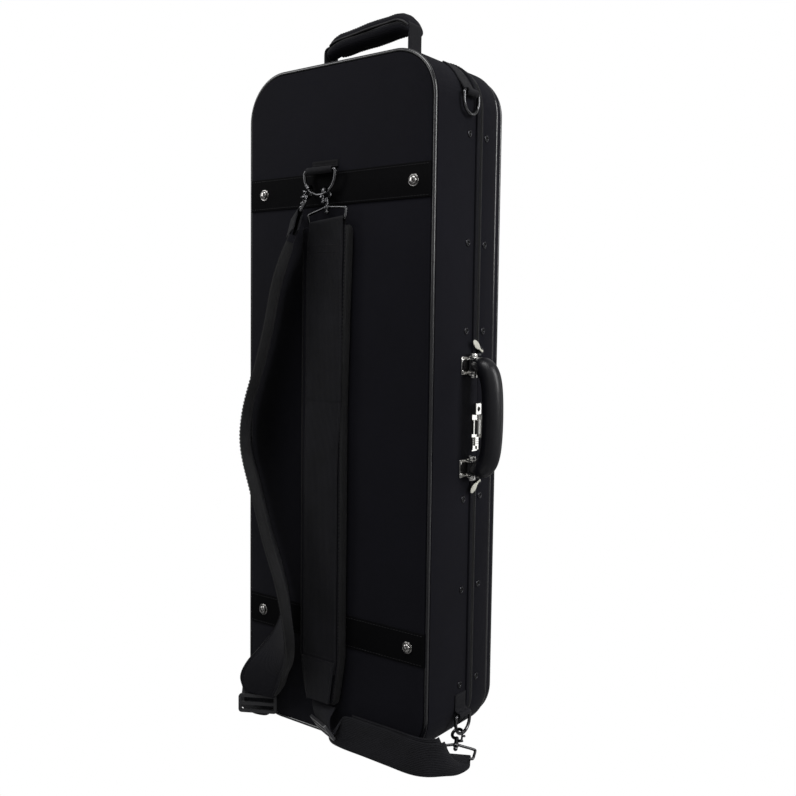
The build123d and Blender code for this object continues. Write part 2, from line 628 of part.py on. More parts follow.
def lock_plate():
    """The lock's plate on the body: key housing above, window in the middle, slide rails below."""
    low = LOCK_CENTRE_Z - LOCK_LENGTH / 2
    high = LOCK_CENTRE_Z + LOCK_LENGTH / 2
    foot = HALF_WIDTH
    face = foot + LOCK_PLATE_THICKNESS
    plate = block(foot, face, LOCK_LOW_Y, LOCK_HIGH_Y, low, high)
    plate = fillet(plate.edges().filter_by(Axis.X), LOCK_CORNER)
    housing = block(face, face + LOCK_HOUSING_HEIGHT, LOCK_LOW_Y, LOCK_HIGH_Y, high - LOCK_HOUSING_LENGTH, high)
    housing = fillet(housing.edges().filter_by(Axis.X), LOCK_CORNER)
    housing = fillet(housing.faces().sort_by(Axis.X)[-1].edges(), LOCK_CORNER / 2)
    plate += housing
    plate -= rod((foot, LOCK_MIDDLE_Y, KEY_Z), (face + 2 * LOCK_HOUSING_HEIGHT, LOCK_MIDDLE_Y, KEY_Z), KEY_RADIUS + KEY_GAP)
    window = block(foot, face, HASP_WINDOW_LOW_Y, HASP_WINDOW_HIGH_Y, LOCK_CENTRE_Z - HASP_LENGTH / 2,
                   LOCK_CENTRE_Z + HASP_LENGTH / 2)
    plate -= window
    plate -= block(foot, face, STAPLE_Y - BOLT_WIDTH / 2 - BOLT_PLAY, STAPLE_Y + BOLT_WIDTH / 2 + BOLT_PLAY,
                   STEM_LOW_Z - RELEASE_TRAVEL - BOLT_PLAY, STEM_LOW_Z + BOLT_STEM + BOLT_PLAY)
    rail_length = RELEASE_LENGTH + RELEASE_TRAVEL
    for side in (-1, 1):
        inner = LOCK_MIDDLE_Y + side * (RELEASE_WIDTH / 2 + RELEASE_GAP)
        outer = LOCK_MIDDLE_Y + side * LOCK_BODY_WIDTH / 2
        plate += block(face, face + RELEASE_HEIGHT / 2, min(inner, outer), max(inner, outer), low + LOCK_CORNER,
                       low + LOCK_CORNER + rail_length)
    return plate


def key_cylinder():
    """The turning plug of the lock, with its keyhole."""
    foot = HALF_WIDTH + RELEASE_GAP
    face = HALF_WIDTH + LOCK_PLATE_THICKNESS + LOCK_HOUSING_HEIGHT
    plug = rod((foot, LOCK_MIDDLE_Y, KEY_Z), (face, LOCK_MIDDLE_Y, KEY_Z), KEY_RADIUS)
    slot = block(face - LOCK_HOUSING_HEIGHT / 2, face, LOCK_MIDDLE_Y - KEY_SLOT / 2, LOCK_MIDDLE_Y + KEY_SLOT / 2,
                 KEY_Z - KEY_RADIUS * 0.7, KEY_Z + KEY_RADIUS * 0.4)
    return plug - slot


def release_slide():
    """The sprung thumb slide, whose bolt runs in the wall and holds the staple by its eye."""
    face = HALF_WIDTH + LOCK_PLATE_THICKNESS + RELEASE_GAP
    high = RELEASE_HIGH_Z
    slide = block(face, face + RELEASE_HEIGHT, LOCK_MIDDLE_Y - RELEASE_WIDTH / 2, LOCK_MIDDLE_Y + RELEASE_WIDTH / 2,
                  high - RELEASE_LENGTH, high)
    for step in range(3):
        z = high - RELEASE_LENGTH * (step + 1) / 4
        slide -= rod((face + RELEASE_HEIGHT, LOCK_LOW_Y, z), (face + RELEASE_HEIGHT, LOCK_HIGH_Y, z), RELEASE_HEIGHT / 6)
    y_low = STAPLE_Y - BOLT_WIDTH / 2
    y_high = STAPLE_Y + BOLT_WIDTH / 2
    stem = block(BOLT_TOP_X - BOLT_THICKNESS, face, y_low, y_high, STEM_LOW_Z, STEM_LOW_Z + BOLT_STEM)
    bolt = block(BOLT_TOP_X - BOLT_THICKNESS, BOLT_TOP_X, y_low, y_high, STEM_LOW_Z, STAPLE_LOW_Z + BOLT_HOLD)
    return slide + stem + bolt


def hasp_plate():
    """The lock's plate on the lid, with the two knuckles and the pin of the hasp."""
    z_low = LOCK_CENTRE_Z - HASP_PLATE_LENGTH / 2
    z_high = LOCK_CENTRE_Z + HASP_PLATE_LENGTH / 2
    plate = block(HALF_WIDTH, HALF_WIDTH + LOCK_PLATE_THICKNESS, SEAM_Y + SEAM_GAP + LOCK_EDGE_GAP,
                  SEAM_Y + SEAM_GAP + LOCK_LID_WIDTH + LOCK_EDGE_GAP, z_low, z_high)
    plate = fillet(plate.edges().filter_by(Axis.X).sort_by(Axis.Y)[-2:], LOCK_CORNER)
    plate += rod((HASP_X, HASP_Y, z_low), (HASP_X, HASP_Y, z_high), HASP_PIN_RADIUS)
    half_hasp = HASP_LENGTH / 2 + HASP_SIDE_GAP
    for ends in ((z_low, LOCK_CENTRE_Z - half_hasp), (LOCK_CENTRE_Z + half_hasp, z_high)):
        plate += rod((HASP_X, HASP_Y, ends[0]), (HASP_X, HASP_Y, ends[1]), HASP_KNUCKLE_RADIUS)
        plate += block(HALF_WIDTH, HASP_X, HASP_Y - HASP_KNUCKLE_RADIUS, HASP_Y + HASP_KNUCKLE_RADIUS, ends[0], ends[1])
    clear = rod((HASP_X, HASP_Y, LOCK_CENTRE_Z - half_hasp), (HASP_X, HASP_Y, LOCK_CENTRE_Z + half_hasp),
                HASP_KNUCKLE_RADIUS + HASP_SIDE_GAP)
    pin = rod((HASP_X, HASP_Y, z_low), (HASP_X, HASP_Y, z_high), HASP_PIN_RADIUS)
    return plate - clear + pin


def lock_hasp():
    """The bulging hasp that swings over the seam, with the staple that the slide holds."""
    z_low = LOCK_CENTRE_Z - HASP_LENGTH / 2
    z_high = LOCK_CENTRE_Z + HASP_LENGTH / 2
    under = HALF_WIDTH + LOCK_PLATE_THICKNESS + RELEASE_GAP
    free_y = LOCK_LOW_Y + HASP_SIDE_GAP
    plate = block(under, under + HASP_THICKNESS, free_y, HASP_Y, z_low, z_high)
    bulge_half = (HASP_Y - free_y) / 2 - HASP_KNUCKLE_RADIUS
    radius = (bulge_half ** 2 + HASP_RISE ** 2) / (2 * HASP_RISE)
    bulge_x = under + HASP_THICKNESS + HASP_RISE - radius
    bulge = rod((bulge_x, (HASP_Y + free_y) / 2, z_low), (bulge_x, (HASP_Y + free_y) / 2, z_high), radius)
    bulge &= block(under, bulge_x + radius, free_y, HASP_Y, z_low, z_high)
    knuckle = rod((HASP_X, HASP_Y, z_low), (HASP_X, HASP_Y, z_high), HASP_KNUCKLE_RADIUS)
    staple_half = BOLT_WIDTH / 2 + BOLT_PLAY + STAPLE_WALL
    staple = block(HALF_WIDTH - STAPLE_DEPTH, under, STAPLE_Y - staple_half, STAPLE_Y + staple_half, STAPLE_LOW_Z,
                   STAPLE_LOW_Z + HASP_LENGTH / 3)
    staple -= block(BOLT_TOP_X - BOLT_THICKNESS - BOLT_PLAY, BOLT_TOP_X + BOLT_PLAY,
                    STAPLE_Y - BOLT_WIDTH / 2 - BOLT_PLAY, STAPLE_Y + BOLT_WIDTH / 2 + BOLT_PLAY, z_low, z_high)
    bore = rod((HASP_X, HASP_Y, z_low), (HASP_X, HASP_Y, z_high), HASP_PIN_RADIUS + HASP_PIN_GAP)
    return plate + bulge + knuckle + staple - bore


def hinge_leaves(side):
    """Three leaves on the hidden long side with their knuckles: side 0 is the body's, side 1 the lid's."""
    outward = 1 if side else -1
    step = HINGE_LENGTH / HINGE_KNUCKLES
    wall = -HALF_WIDTH
    near = SEAM_Y + outward * (HINGE_KNUCKLE_RADIUS + SEAM_GAP)
    far = near + outward * HINGE_LEAF_WIDTH
    edge = SEAM_Y + outward * SEAM_GAP
    leaves = []
    for centre_z in HINGE_HEIGHTS_Z:
        low = centre_z - HINGE_LENGTH / 2
        leaf = block(wall - HINGE_LEAF, wall, min(near, far), max(near, far), low, low + HINGE_LENGTH)
        for index in range(side, HINGE_KNUCKLES, 2):
            z_low = low + index * step + HINGE_KNUCKLE_GAP / 2
            z_high = low + (index + 1) * step - HINGE_KNUCKLE_GAP / 2
            leaf += rod((HINGE_X, SEAM_Y, z_low), (HINGE_X, SEAM_Y, z_high), HINGE_KNUCKLE_RADIUS)
            leaf += block(wall - HINGE_LEAF, wall - SEAM_GAP / 2, min(edge, near), max(edge, near), z_low, z_high)
        bore = rod((HINGE_X, SEAM_Y, low), (HINGE_X, SEAM_Y, low + HINGE_LENGTH), HINGE_PIN_RADIUS + HINGE_PIN_GAP)
        leaves.append(leaf - bore)
    return Compound(children=leaves)


def hinge_pins():
    """The three pins that the lid turns on."""
    pins = []
    for centre_z in HINGE_HEIGHTS_Z:
        half = HINGE_LENGTH / 2
        pins.append(rod((HINGE_X, SEAM_Y, centre_z - half), (HINGE_X, SEAM_Y, centre_z + half), HINGE_PIN_RADIUS))
    return Compound(children=pins)


def d_ring(width, depth):
    """A D-ring that hangs in the local XZ plane with the middle of its bar at the origin."""
    corner = 1.5 * RING_WIRE
    half = width / 2
    leg = depth - half
    turn = corner * math.sqrt(0.5)
    bar = Line((half - corner, 0, 0), (-half + corner, 0, 0))
    left_turn = ThreePointArc((-half + corner, 0, 0), (-half + corner - turn, 0, -corner + turn), (-half, 0, -corner))
    left_leg = Line((-half, 0, -corner), (-half, 0, -leg))
    bow = ThreePointArc((-half, 0, -leg), (0, 0, -depth), (half, 0, -leg))
    right_leg = Line((half, 0, -leg), (half, 0, -corner))
    right_turn = ThreePointArc((half, 0, -corner), (half - corner + turn, 0, -corner + turn), (half - corner, 0, 0))
    path = Wire([bar, left_turn, left_leg, bow, right_leg, right_turn])
    start = Plane(origin=bar @ 0, z_dir=bar % 0)
    return sweep(start * Circle(RING_WIRE), path=path)


def ring_loop(width, drop):
    """The webbing wrapped round a ring's bar: local X along the bar, local Y down to what it is sewn on."""
    bore = RING_WIRE + TAB_CLEARANCE
    outer = bore + TAB_WALL
    profile = Circle(outer) + Pos(drop / 2, outer / 2) * Rectangle(drop, outer) - Circle(bore)
    return Plane.YZ * extrude(profile, amount=width / 2, both=True)


def back_ring_tab():
    """The tab on the upper band that carries the ring of both shoulder straps."""
    width = BACK_RING_WIDTH - 4 * RING_WIRE
    loop = Pos(BACK_RING_X, BACK_RING_Y, BACK_RING_Z) * ring_loop(width, BACK_Y - BACK_RING_Y)
    patch = block(BACK_RING_X - width / 2, BACK_RING_X + width / 2, BACK_Y - 2 * TAB_WALL, BACK_Y,
                  BACK_RING_Z, BACK_RING_Z + TAB_PATCH / 2)
    return loop + patch


def side_ring_plane(side, y, z):
    """The plane of a ring on a long side: X along its bar, Y into the case."""
    return Plane(origin=(side * SIDE_RING_X, y, z), x_dir=(0, side, 0), z_dir=(0, 0, 1))


def side_ring_tabs():
    """Three tabs on the long sides, two on the handle side and one on the hinge side."""
    width = SIDE_RING_WIDTH - 4 * RING_WIRE
    drop = SIDE_RING_X - HALF_WIDTH
    tabs = []
    band_low = UPPER_RING_Y - width / 2
    band = inset_slab(-TAB_WALL, band_low, band_low + width) - inset_slab(0, band_low, band_low + width)
    corner = block(0, CASE_WIDTH, band_low, band_low + width, UPPER_RING_Z, CASE_LENGTH - CORNER_RADIUS / 4)
    upper = side_ring_plane(1, UPPER_RING_Y, UPPER_RING_Z) * ring_loop(width, drop)
    tabs.append(upper + (band & corner))
    for side in (-1, 1):
        loop = side_ring_plane(side, LOWER_RING_Y, LOWER_RING_Z) * ring_loop(width, drop)
        low = LOWER_RING_Y - width / 2
        patch = inset_slab(-TAB_WALL, low, low + width) - inset_slab(0, low, low + width)
        middle = side * (HALF_WIDTH + TAB_WALL)
        patch &= block(min(0, 2 * middle), max(0, 2 * middle), low, low + width, LOWER_RING_Z,
                       LOWER_RING_Z + TAB_PATCH)
        tabs.append(loop + patch)
    return Compound(children=tabs)


def hook_casting():
    """A snap hook: its eye round local X at the origin, its shank down local -Z, with the trigger's guide."""
    start = math.radians(-90)
    stop = math.radians(255 - HOOK_OPENING)
    middle = (start + stop) / 2
    points = [(0, HOOK_EYE * math.cos(turn), HOOK_EYE * math.sin(turn)) for turn in (start, middle, stop)]
    arc = ThreePointArc(*points)
    casting = sweep(Plane(origin=arc @ 0, z_dir=arc % 0) * Circle(HOOK_WIRE), path=arc)
    casting += Pos(*points[2]) * Sphere(HOOK_WIRE)
    shank_top = -HOOK_EYE
    neck_top = shank_top - HOOK_SHANK / 2
    foot = shank_top - HOOK_SHANK
    casting += rod((0, 0, shank_top + HOOK_WIRE / 2), (0, 0, neck_top), HOOK_WIRE * 1.3)
    casting += rod((0, 0, neck_top), (0, 0, foot), HOOK_WIRE * 0.75)
    casting += Pos(0, 0, foot) * Sphere(SWIVEL_RADIUS * 0.8)
    guide_top = -HOOK_EYE - TRIGGER_TRAVEL
    guide = block(-HOOK_WIRE, HOOK_WIRE, -HOOK_EYE - HOOK_WIRE, 0, guide_top - TRIGGER_GUIDE, guide_top)
    casting += guide
    casting -= rod((0, -HOOK_EYE, foot), (0, -HOOK_EYE, -HOOK_WIRE), TRIGGER_RADIUS + TRIGGER_PLAY)
    return casting


def hook_trigger():
    """The sprung rod that shuts the hook's mouth, with the knob that the thumb draws down."""
    high = -HOOK_WIRE - 3 * TRIGGER_PLAY
    knob_z = TRIGGER_KNOB + TRIGGER_PLAY - HOOK_EYE
    low = -HOOK_EYE - TRIGGER_TRAVEL - TRIGGER_GUIDE
    trigger = rod((0, -HOOK_EYE, low), (0, -HOOK_EYE, high), TRIGGER_RADIUS)
    return trigger + rod((0, -HOOK_EYE, knob_z), (0, -HOOK_EYE - TRIGGER_KNOB_REACH, knob_z), TRIGGER_KNOB)


def hook_loop(width, height):
    """The wire loop that turns on the hook's neck and carries webbing of one width."""
    neck_top = -HOOK_EYE - HOOK_SHANK / 2 - HOOK_LOOP_GAP
    collar_height = HOOK_SHANK / 2 - SWIVEL_RADIUS * 0.8 - 2 * HOOK_LOOP_GAP
    bore = HOOK_WIRE * 0.75 + HOOK_LOOP_GAP
    collar = rod((0, 0, neck_top - collar_height), (0, 0, neck_top), SWIVEL_RADIUS)
    middle = neck_top - collar_height / 2
    bottom = neck_top - height
    shoulder = middle - height / 4
    half = width / 2
    path = FilletPolyline((0, 0, middle), (-half, 0, shoulder), (-half * 0.94, 0, bottom), (half * 0.94, 0, bottom),
                          (half, 0, shoulder), (0, 0, middle), radius=2 * LOOP_WIRE)
    start = Plane(origin=path @ 0, z_dir=path % 0)
    loop = sweep(start * Circle(LOOP_WIRE), path=path) + collar
    loop -= rod((0, 0, neck_top - collar_height), (0, 0, neck_top), bore)
    loop -= Pos(0, 0, -HOOK_EYE - HOOK_SHANK) * Sphere(SWIVEL_RADIUS * 0.8 + HOOK_LOOP_GAP)
    return loop


def bar_direction(place, across):
    """The direction of a loop's bar, square to its hook and as near as it can be to the webbing's width."""
    across = Vector(*across)
    return (across - place.z_dir * across.dot(place.z_dir)).normalized()


def snap_hook(place, across, width):
    """A hook at its place on a ring, its loop turned so that its bar lies across the webbing."""
    bar = place.to_local_coords(place.origin + bar_direction(place, across))
    turn = math.degrees(math.atan2(bar.Y, bar.X))
    return Compound(children=[place * hook_casting(), place * (Rot(0, 0, turn) * hook_loop(width, LOOP_HEIGHT))])


def ring_point(ring_plane, width, depth, angle):
    """A point on a ring's bow, at an angle from its lowest point, and the wire's direction there."""
    half = width / 2
    turn = math.radians(angle)
    local = Vector(half * math.sin(turn), 0, -(depth - half) - half * math.cos(turn))
    along = Vector(math.cos(turn), 0, math.sin(turn))
    point = ring_plane.from_local_coords(local)
    tip = ring_plane.from_local_coords(local + along)
    return point, tip - point


def hook_place(ring_plane, width, depth, angle, pull):
    """The place of a hook whose eye hangs on a ring's wire and is drawn in one direction."""
    point, along = ring_point(ring_plane, width, depth, angle)
    pull = Vector(*pull).normalized()
    inside = HOOK_EYE - HOOK_WIRE - RING_WIRE - HOOK_RING_GAP
    return Plane(origin=point + pull * inside, x_dir=along, z_dir=pull * -1)


def right_shoulder_pad():
    """The pad that hangs straight down the back, narrowing to its lower end."""
    left = PAD_LEFT_X
    right = left + PAD_WIDTH
    low_right = left + PAD_LOW_WIDTH
    end_left = (left + low_right - PAD_END_WIDTH) / 2
    outline = Polyline((left, PAD_TOP_Z), (right, PAD_TOP_Z), (low_right, PAD_NARROW_Z), (low_right, PAD_TAPER_Z),
                       (end_left + PAD_END_WIDTH, PAD_LOW_Z), (end_left, PAD_LOW_Z), (left, PAD_TAPER_Z), close=True)
    face = make_face(outline)
    ends = face.vertices().sort_by(Axis.Y)
    face = fillet(ends[:2] + ends[-2:], PAD_CORNER)
    slab_of_pad = Pos(0, PAD_BACK_Y, 0) * extrude(Plane.XZ * face, amount=PAD_THICKNESS, dir=(0, -1, 0))
    middle = Plane(origin=((left + right) / 2, PAD_BACK_Y - PAD_THICKNESS / 2, 0), x_dir=(1, 0, 0), z_dir=(0, 0, 1))
    section = middle * crowned_strip(PAD_WIDTH + 2 * CROWN_REACH, PAD_THICKNESS, PAD_CROWN)
    return slab_of_pad & extrude(section, amount=CASE_LENGTH)


def left_shoulder_pad():
    """The pad that hangs on its edge down the left, bulges past the side and turns flat at its lower end."""
    stations = []
    for x, off, share, turn, width in LEFT_PAD_ROUTE:
        z = LEFT_PAD_END_Z + share * (LEFT_PAD_TOP_Z - LEFT_PAD_END_Z)
        across = (math.cos(math.radians(turn)), -math.sin(math.radians(turn)), 0)
        stations.append(((x, BACK_Y - off, z), across, PAD_WIDTH * width))
    return ribbon(stations, PAD_THICKNESS, PAD_CROWN)


def webbing_fold(centre, across, width, down, length):
    """Webbing folded round a loop's wire, with both layers running down to the pad."""
    bore = LOOP_WIRE + STRAP_GAP
    outer = bore + WEBBING_THICKNESS
    profile = Circle(outer) + Pos(0, length / 2) * Rectangle(2 * outer, length)
    profile -= Circle(bore)
    profile -= Pos(0, length / 2) * Rectangle(2 * bore, length)
    place = Plane(origin=centre, z_dir=across, x_dir=down.cross(across))
    return place * extrude(profile, amount=width / 2, both=True)


def right_strap_webbing():
    """The fold at the top loop, the panel down the pad, and the run along the floor to the lower hook."""
    fold_at = loop_bar(RIGHT_TOP_HOOK, LOOP_BOTTOM_DROP)
    bar_along = bar_direction(RIGHT_TOP_HOOK, (1, 0, 0))
    slant = abs(bar_along.Z) * PANEL_WIDTH / 2
    fold = webbing_fold(fold_at, bar_along, PANEL_WIDTH, Vector(0, 0, -1), fold_at.Z - PAD_TOP_Z - slant - STRAP_GAP)
    front = fold_at.Y - LOOP_WIRE - STRAP_GAP
    panel_plane = Plane(origin=(fold_at.X, front - WEBBING_THICKNESS / 2, PAD_TAPER_Z), x_dir=(1, 0, 0),
                        z_dir=(0, 0, 1))
    panel = panel_plane * extrude(bowed_strip(), amount=PAD_TOP_Z + STRAP_GAP - PAD_TAPER_Z)
    bar = loop_bar(RIGHT_LOWER_HOOK, LOOP_BOTTOM_DROP)
    layer = LOOP_WIRE + STRAP_GAP + WEBBING_THICKNESS / 2
    drop = webbing_stations(RIGHT_TURN, 0, 1) + webbing_stations(FRONT_CORNER, HALF_WIDTH, 1)
    drop.append(((bar.X, bar.Y - 1, bar.Z - layer), LOWER_LOOP_ACROSS, WEBBING_WIDTH))
    back = webbing_stations(REAR_RUN, 0, 1) + webbing_stations(REAR_CORNER, HALF_WIDTH, 1)
    back.append(((bar.X, bar.Y - 1, bar.Z + layer), LOWER_LOOP_ACROSS, WEBBING_WIDTH))
    return Compound(children=[fold, panel, ribbon(drop, WEBBING_THICKNESS), ribbon(back, WEBBING_THICKNESS)])


def webbing_stations(rows, middle, side):
    """Stations of webbing from rows that count from one plane, from the back and from the floor."""
    stations = []
    for (x, off, z), across in rows:
        place = (side * (middle + x), BACK_Y - off, z)
        stations.append((place, (side * across[0], across[1], across[2]), WEBBING_WIDTH))
    return stations


def bowed_strip():
    """The section of the panel that lies on the pad's crown."""
    half = PANEL_WIDTH / 2
    sag = PAD_CROWN * (PANEL_WIDTH / PAD_WIDTH) ** 2 - 2 * SOFT_GAP
    thick = WEBBING_THICKNESS / 2
    front = ThreePointArc((-half, sag - thick), (0, -thick), (half, sag - thick))
    back = ThreePointArc((half, sag + thick), (0, thick), (-half, sag + thick))
    sides = [Line((half, sag - thick), (half, sag + thick)), Line((-half, sag + thick), (-half, sag - thick))]
    return make_face(Wire([front, sides[0], back, sides[1]]))


def left_strap_webbing():
    """The fold at the left pad's top, and the run from its lower end to the lower hook."""
    fold_at = loop_bar(LEFT_TOP_HOOK, LOOP_BOTTOM_DROP)
    down = Vector(LEFT_PAD_ROUTE[0][0], BACK_Y - LEFT_PAD_ROUTE[0][1], LEFT_PAD_TOP_Z) - fold_at
    fold = webbing_fold(fold_at, bar_direction(LEFT_TOP_HOOK, LEFT_LOOP_ACROSS), PANEL_WIDTH, down.normalized(),
                        down.length - 0.75 * PAD_THICKNESS)
    bar = loop_bar(LEFT_LOWER_HOOK, LOOP_BOTTOM_DROP)
    layer = LOOP_WIRE + STRAP_GAP + WEBBING_THICKNESS / 2
    drop = []
    for (x, off, z), across in LEFT_TURN:
        drop.append(((x, BACK_Y - off, z), (-across[0], -across[1], -across[2]), WEBBING_WIDTH))
    drop += webbing_stations(REAR_CORNER, HALF_WIDTH, -1)
    drop.append(((bar.X, bar.Y - 1, bar.Z + layer), (-LOWER_LOOP_ACROSS[0], LOWER_LOOP_ACROSS[1], 0), WEBBING_WIDTH))
    return Compound(children=[fold, ribbon(drop, WEBBING_THICKNESS)])


def adjuster(place):
    """A two-slot strap adjuster."""
    frame = extrude(RectangleRounded(ADJUSTER_WIDTH, ADJUSTER_LENGTH, ADJUSTER_BAR), amount=ADJUSTER_BAR * 0.8)
    slot_width = ADJUSTER_WIDTH - 2 * ADJUSTER_BAR
    slot_length = (ADJUSTER_LENGTH - 3 * ADJUSTER_BAR) / 2
    for side in (-1, 1):
        slot = Box(slot_width, slot_length, 4 * ADJUSTER_BAR)
        frame -= Pos(0, side * (slot_length + ADJUSTER_BAR) / 2, 0) * slot
    return place * frame


def strap_adjusters():
    """The adjusters at the lower ends of both pads."""
    adjusters = []
    for (x, off, z), across, outward in (RIGHT_ADJUSTER, LEFT_ADJUSTER):
        out = Vector(*outward).normalized()
        place = Vector(x, BACK_Y - off, z) + out * (WEBBING_THICKNESS / 2 + SOFT_GAP)
        adjusters.append(adjuster(Plane(origin=place, x_dir=across, z_dir=out)))
    return Compound(children=adjusters)


def top_handle_webbing():
    """The webbing arch of the top handle, from anchor to anchor."""
    half = TOP_HANDLE_SPAN / 2
    crown = CASE_LENGTH + TOP_HANDLE_RISE
    foot = CASE_LENGTH + TOP_ANCHOR_THICKNESS + 2 * SOFT_GAP
    path = FilletPolyline((-half, TOP_HANDLE_Y, foot), (-half, TOP_HANDLE_Y, crown - TOP_HANDLE_TILT / 2),
                          (half, TOP_HANDLE_Y, crown + TOP_HANDLE_TILT / 2), (half, TOP_HANDLE_Y, foot),
                          radius=TOP_HANDLE_BEND)
    start = Plane(origin=path @ 0, x_dir=(0, 1, 0), z_dir=path % 0)
    return sweep(start * Rectangle(TOP_WEBBING_WIDTH, TOP_WEBBING_THICKNESS), path=path)


def top_handle_anchors():
    """The two stitched patches that hold the top handle's webbing."""
    half = TOP_HANDLE_SPAN / 2
    patches = []
    for x in (-half, half):
        patches.append(block(x - TOP_ANCHOR_LENGTH / 2, x + TOP_ANCHOR_LENGTH / 2, TOP_HANDLE_Y - TOP_WEBBING_WIDTH / 2,
                             TOP_HANDLE_Y + TOP_WEBBING_WIDTH / 2, CASE_LENGTH, CASE_LENGTH + TOP_ANCHOR_THICKNESS))
    return Compound(children=patches)


def wrap_plane():
    """The plane at the middle of the wrap: X away from the straps' side, Z along the handle."""
    slope = TOP_HANDLE_TILT / TOP_HANDLE_SPAN
    centre = (TOP_WRAP_X, TOP_HANDLE_Y, CASE_LENGTH + TOP_HANDLE_RISE + TOP_WRAP_X * slope)
    return Plane(origin=centre, x_dir=(0, 1, 0), z_dir=(-1, 0, -slope))


def wrap_leaf(side):
    """One padded leaf of the wrap, half a flattened tube round the webbing, in front of it or behind it."""
    outer = Ellipse(TOP_WRAP_WIDTH / 2, TOP_WRAP_RADIUS)
    inner = Ellipse(TOP_WEBBING_WIDTH / 2 + 2 * SOFT_GAP, TOP_WRAP_RADIUS - TOP_WRAP_THICKNESS)
    middle = side * (LEAF_GAP + TOP_WRAP_WIDTH) / 2
    window = Pos(middle, 0) * Rectangle(TOP_WRAP_WIDTH, 2 * TOP_WRAP_WIDTH)
    return wrap_plane() * extrude((outer - inner) & window, amount=TOP_WRAP_LENGTH / 2, both=True)


def lid_shell():
    """The shallow lid, stepped for its piping."""
    step_y = LID_FRONT_Y - PIPING_STEP
    shell = inset_slab(0, SEAM_Y + SEAM_GAP, step_y)
    shell += inset_slab(PIPING_STEP, step_y, LID_FRONT_Y)
    return shell - inset_slab(LID_WALL, SEAM_Y + SEAM_GAP, LID_INSIDE_Y)


def music_pocket():
    """The flat pocket on the lid, with its gusset and softly rounded front."""
    front = LID_FRONT_Y + POCKET_DEPTH
    pocket = inset_slab(POCKET_INSET, LID_FRONT_Y, front - PIPING_STEP)
    pocket += inset_slab(POCKET_INSET + PIPING_STEP, front - PIPING_STEP, front)
    half = HALF_WIDTH - POCKET_INSET - PIPING_STEP
    chord = 2 * half - 2 * POCKET_CORNER
    radius = (chord ** 2 / 4 + POCKET_CROWN ** 2) / (2 * POCKET_CROWN)
    crown = Pos(0, front + POCKET_CROWN - radius, 0) * extrude(Circle(radius), amount=CASE_LENGTH)
    inset = POCKET_INSET + PIPING_STEP + POCKET_CORNER
    crown &= slab(HALF_WIDTH - inset, inset, CASE_LENGTH - inset, CORNER_RADIUS - inset, front, front + POCKET_CROWN)
    return pocket + crown


def pocket_piping():
    """The piping round the front edge of the pocket."""
    inset = POCKET_INSET + PIPING_RADIUS
    y = LID_FRONT_Y + POCKET_DEPTH - PIPING_RADIUS
    half = HALF_WIDTH - inset
    corners = ((-half, y, inset), (half, y, inset), (half, y, CASE_LENGTH - inset), (-half, y, CASE_LENGTH - inset))
    return bent_wire(corners, CORNER_RADIUS - inset, PIPING_RADIUS)


def lid_pipings():
    """The round of piping on the lid's edge and the one on the pocket's edge."""
    return Compound(children=[piping(LID_FRONT_Y - PIPING_RADIUS), pocket_piping()])


def pocket_zip_slider():
    """The slider of the pocket's zip on its top gusset, with its pull."""
    y = LID_FRONT_Y + POCKET_DEPTH / 3
    foot = CASE_LENGTH - POCKET_INSET + SLIDER_GAP
    body = block(POCKET_SLIDER_X - SLIDER_LENGTH / 2, POCKET_SLIDER_X + SLIDER_LENGTH / 2, y - SLIDER_WIDTH / 2,
                 y + SLIDER_WIDTH / 2, foot, foot + SLIDER_HEIGHT * 0.6)
    body = fillet(body.edges().filter_by(Axis.Z), SLIDER_WIDTH / 4)
    tag = block(POCKET_SLIDER_X, POCKET_SLIDER_X + PULL_LENGTH, y - PULL_EYE_WIDTH / 2, y + PULL_EYE_WIDTH / 2,
                foot + SLIDER_HEIGHT * 0.6, foot + SLIDER_HEIGHT * 0.6 + PULL_THICKNESS)
    return body + fillet(tag.edges().filter_by(Axis.Z), PULL_EYE_WIDTH / 3)


def back_lining():
    """The plush-covered padding on the inside of the back."""
    return inset_slab(BODY_WALL + SOFT_GAP, FLOOR_Y, LINING_Y)


def viola_outline():
    """The cavity that the viola lies in: both bouts, joined, with the channel for the neck."""
    lower = Pos(0, LOWER_BOUT_Z) * Circle(LOWER_BOUT_RADIUS)
    upper = Pos(0, UPPER_BOUT_Z) * Circle(UPPER_BOUT_RADIUS)
    return make_hull((lower + upper).edges())


def side_cushions():
    """The two long cushions that hold the viola's bouts, one on each side."""
    y_low = LINING_Y
    outline = inset_slab(BODY_WALL + SOFT_GAP, y_low, CUSHION_TOP_Y)
    cavity = Pos(0, y_low, 0) * extrude(Plane.XZ * viola_outline(), amount=CUSHION_TOP_Y - y_low, dir=(0, 1, 0))
    cushions = []
    for side in (-1, 1):
        near = side * CUSHION_SPLIT
        far = side * CASE_WIDTH
        half = block(min(near, far), max(near, far), y_low, CUSHION_TOP_Y, 0, CUSHION_TOP_Z)
        cushion = (outline & half) - cavity
        top = cushion.faces().sort_by(Axis.Y)[-1]
        cushions.append(fillet(top.outer_wire().edges().sort_by(Axis.X)[0 if side > 0 else -1], CUSHION_ROUND))
    return Compound(children=cushions)


def suspension_pads():
    """The two pads that the viola's back rests on, so that it hangs clear of the shell."""
    pads = []
    for z, width in ((LOWER_PAD_Z, LOWER_PAD_WIDTH), (UPPER_PAD_Z, UPPER_PAD_WIDTH)):
        pad = block(-width / 2, width / 2, LINING_Y, LINING_Y + SUSPENSION_THICKNESS, z - SUSPENSION_LENGTH / 2,
                    z + SUSPENSION_LENGTH / 2)
        pad = fillet(pad.edges().filter_by(Axis.Y), SUSPENSION_LENGTH / 4)
        pads.append(fillet(pad.faces().sort_by(Axis.Y)[-1].edges(), SUSPENSION_THICKNESS / 3))
    return Compound(children=pads)


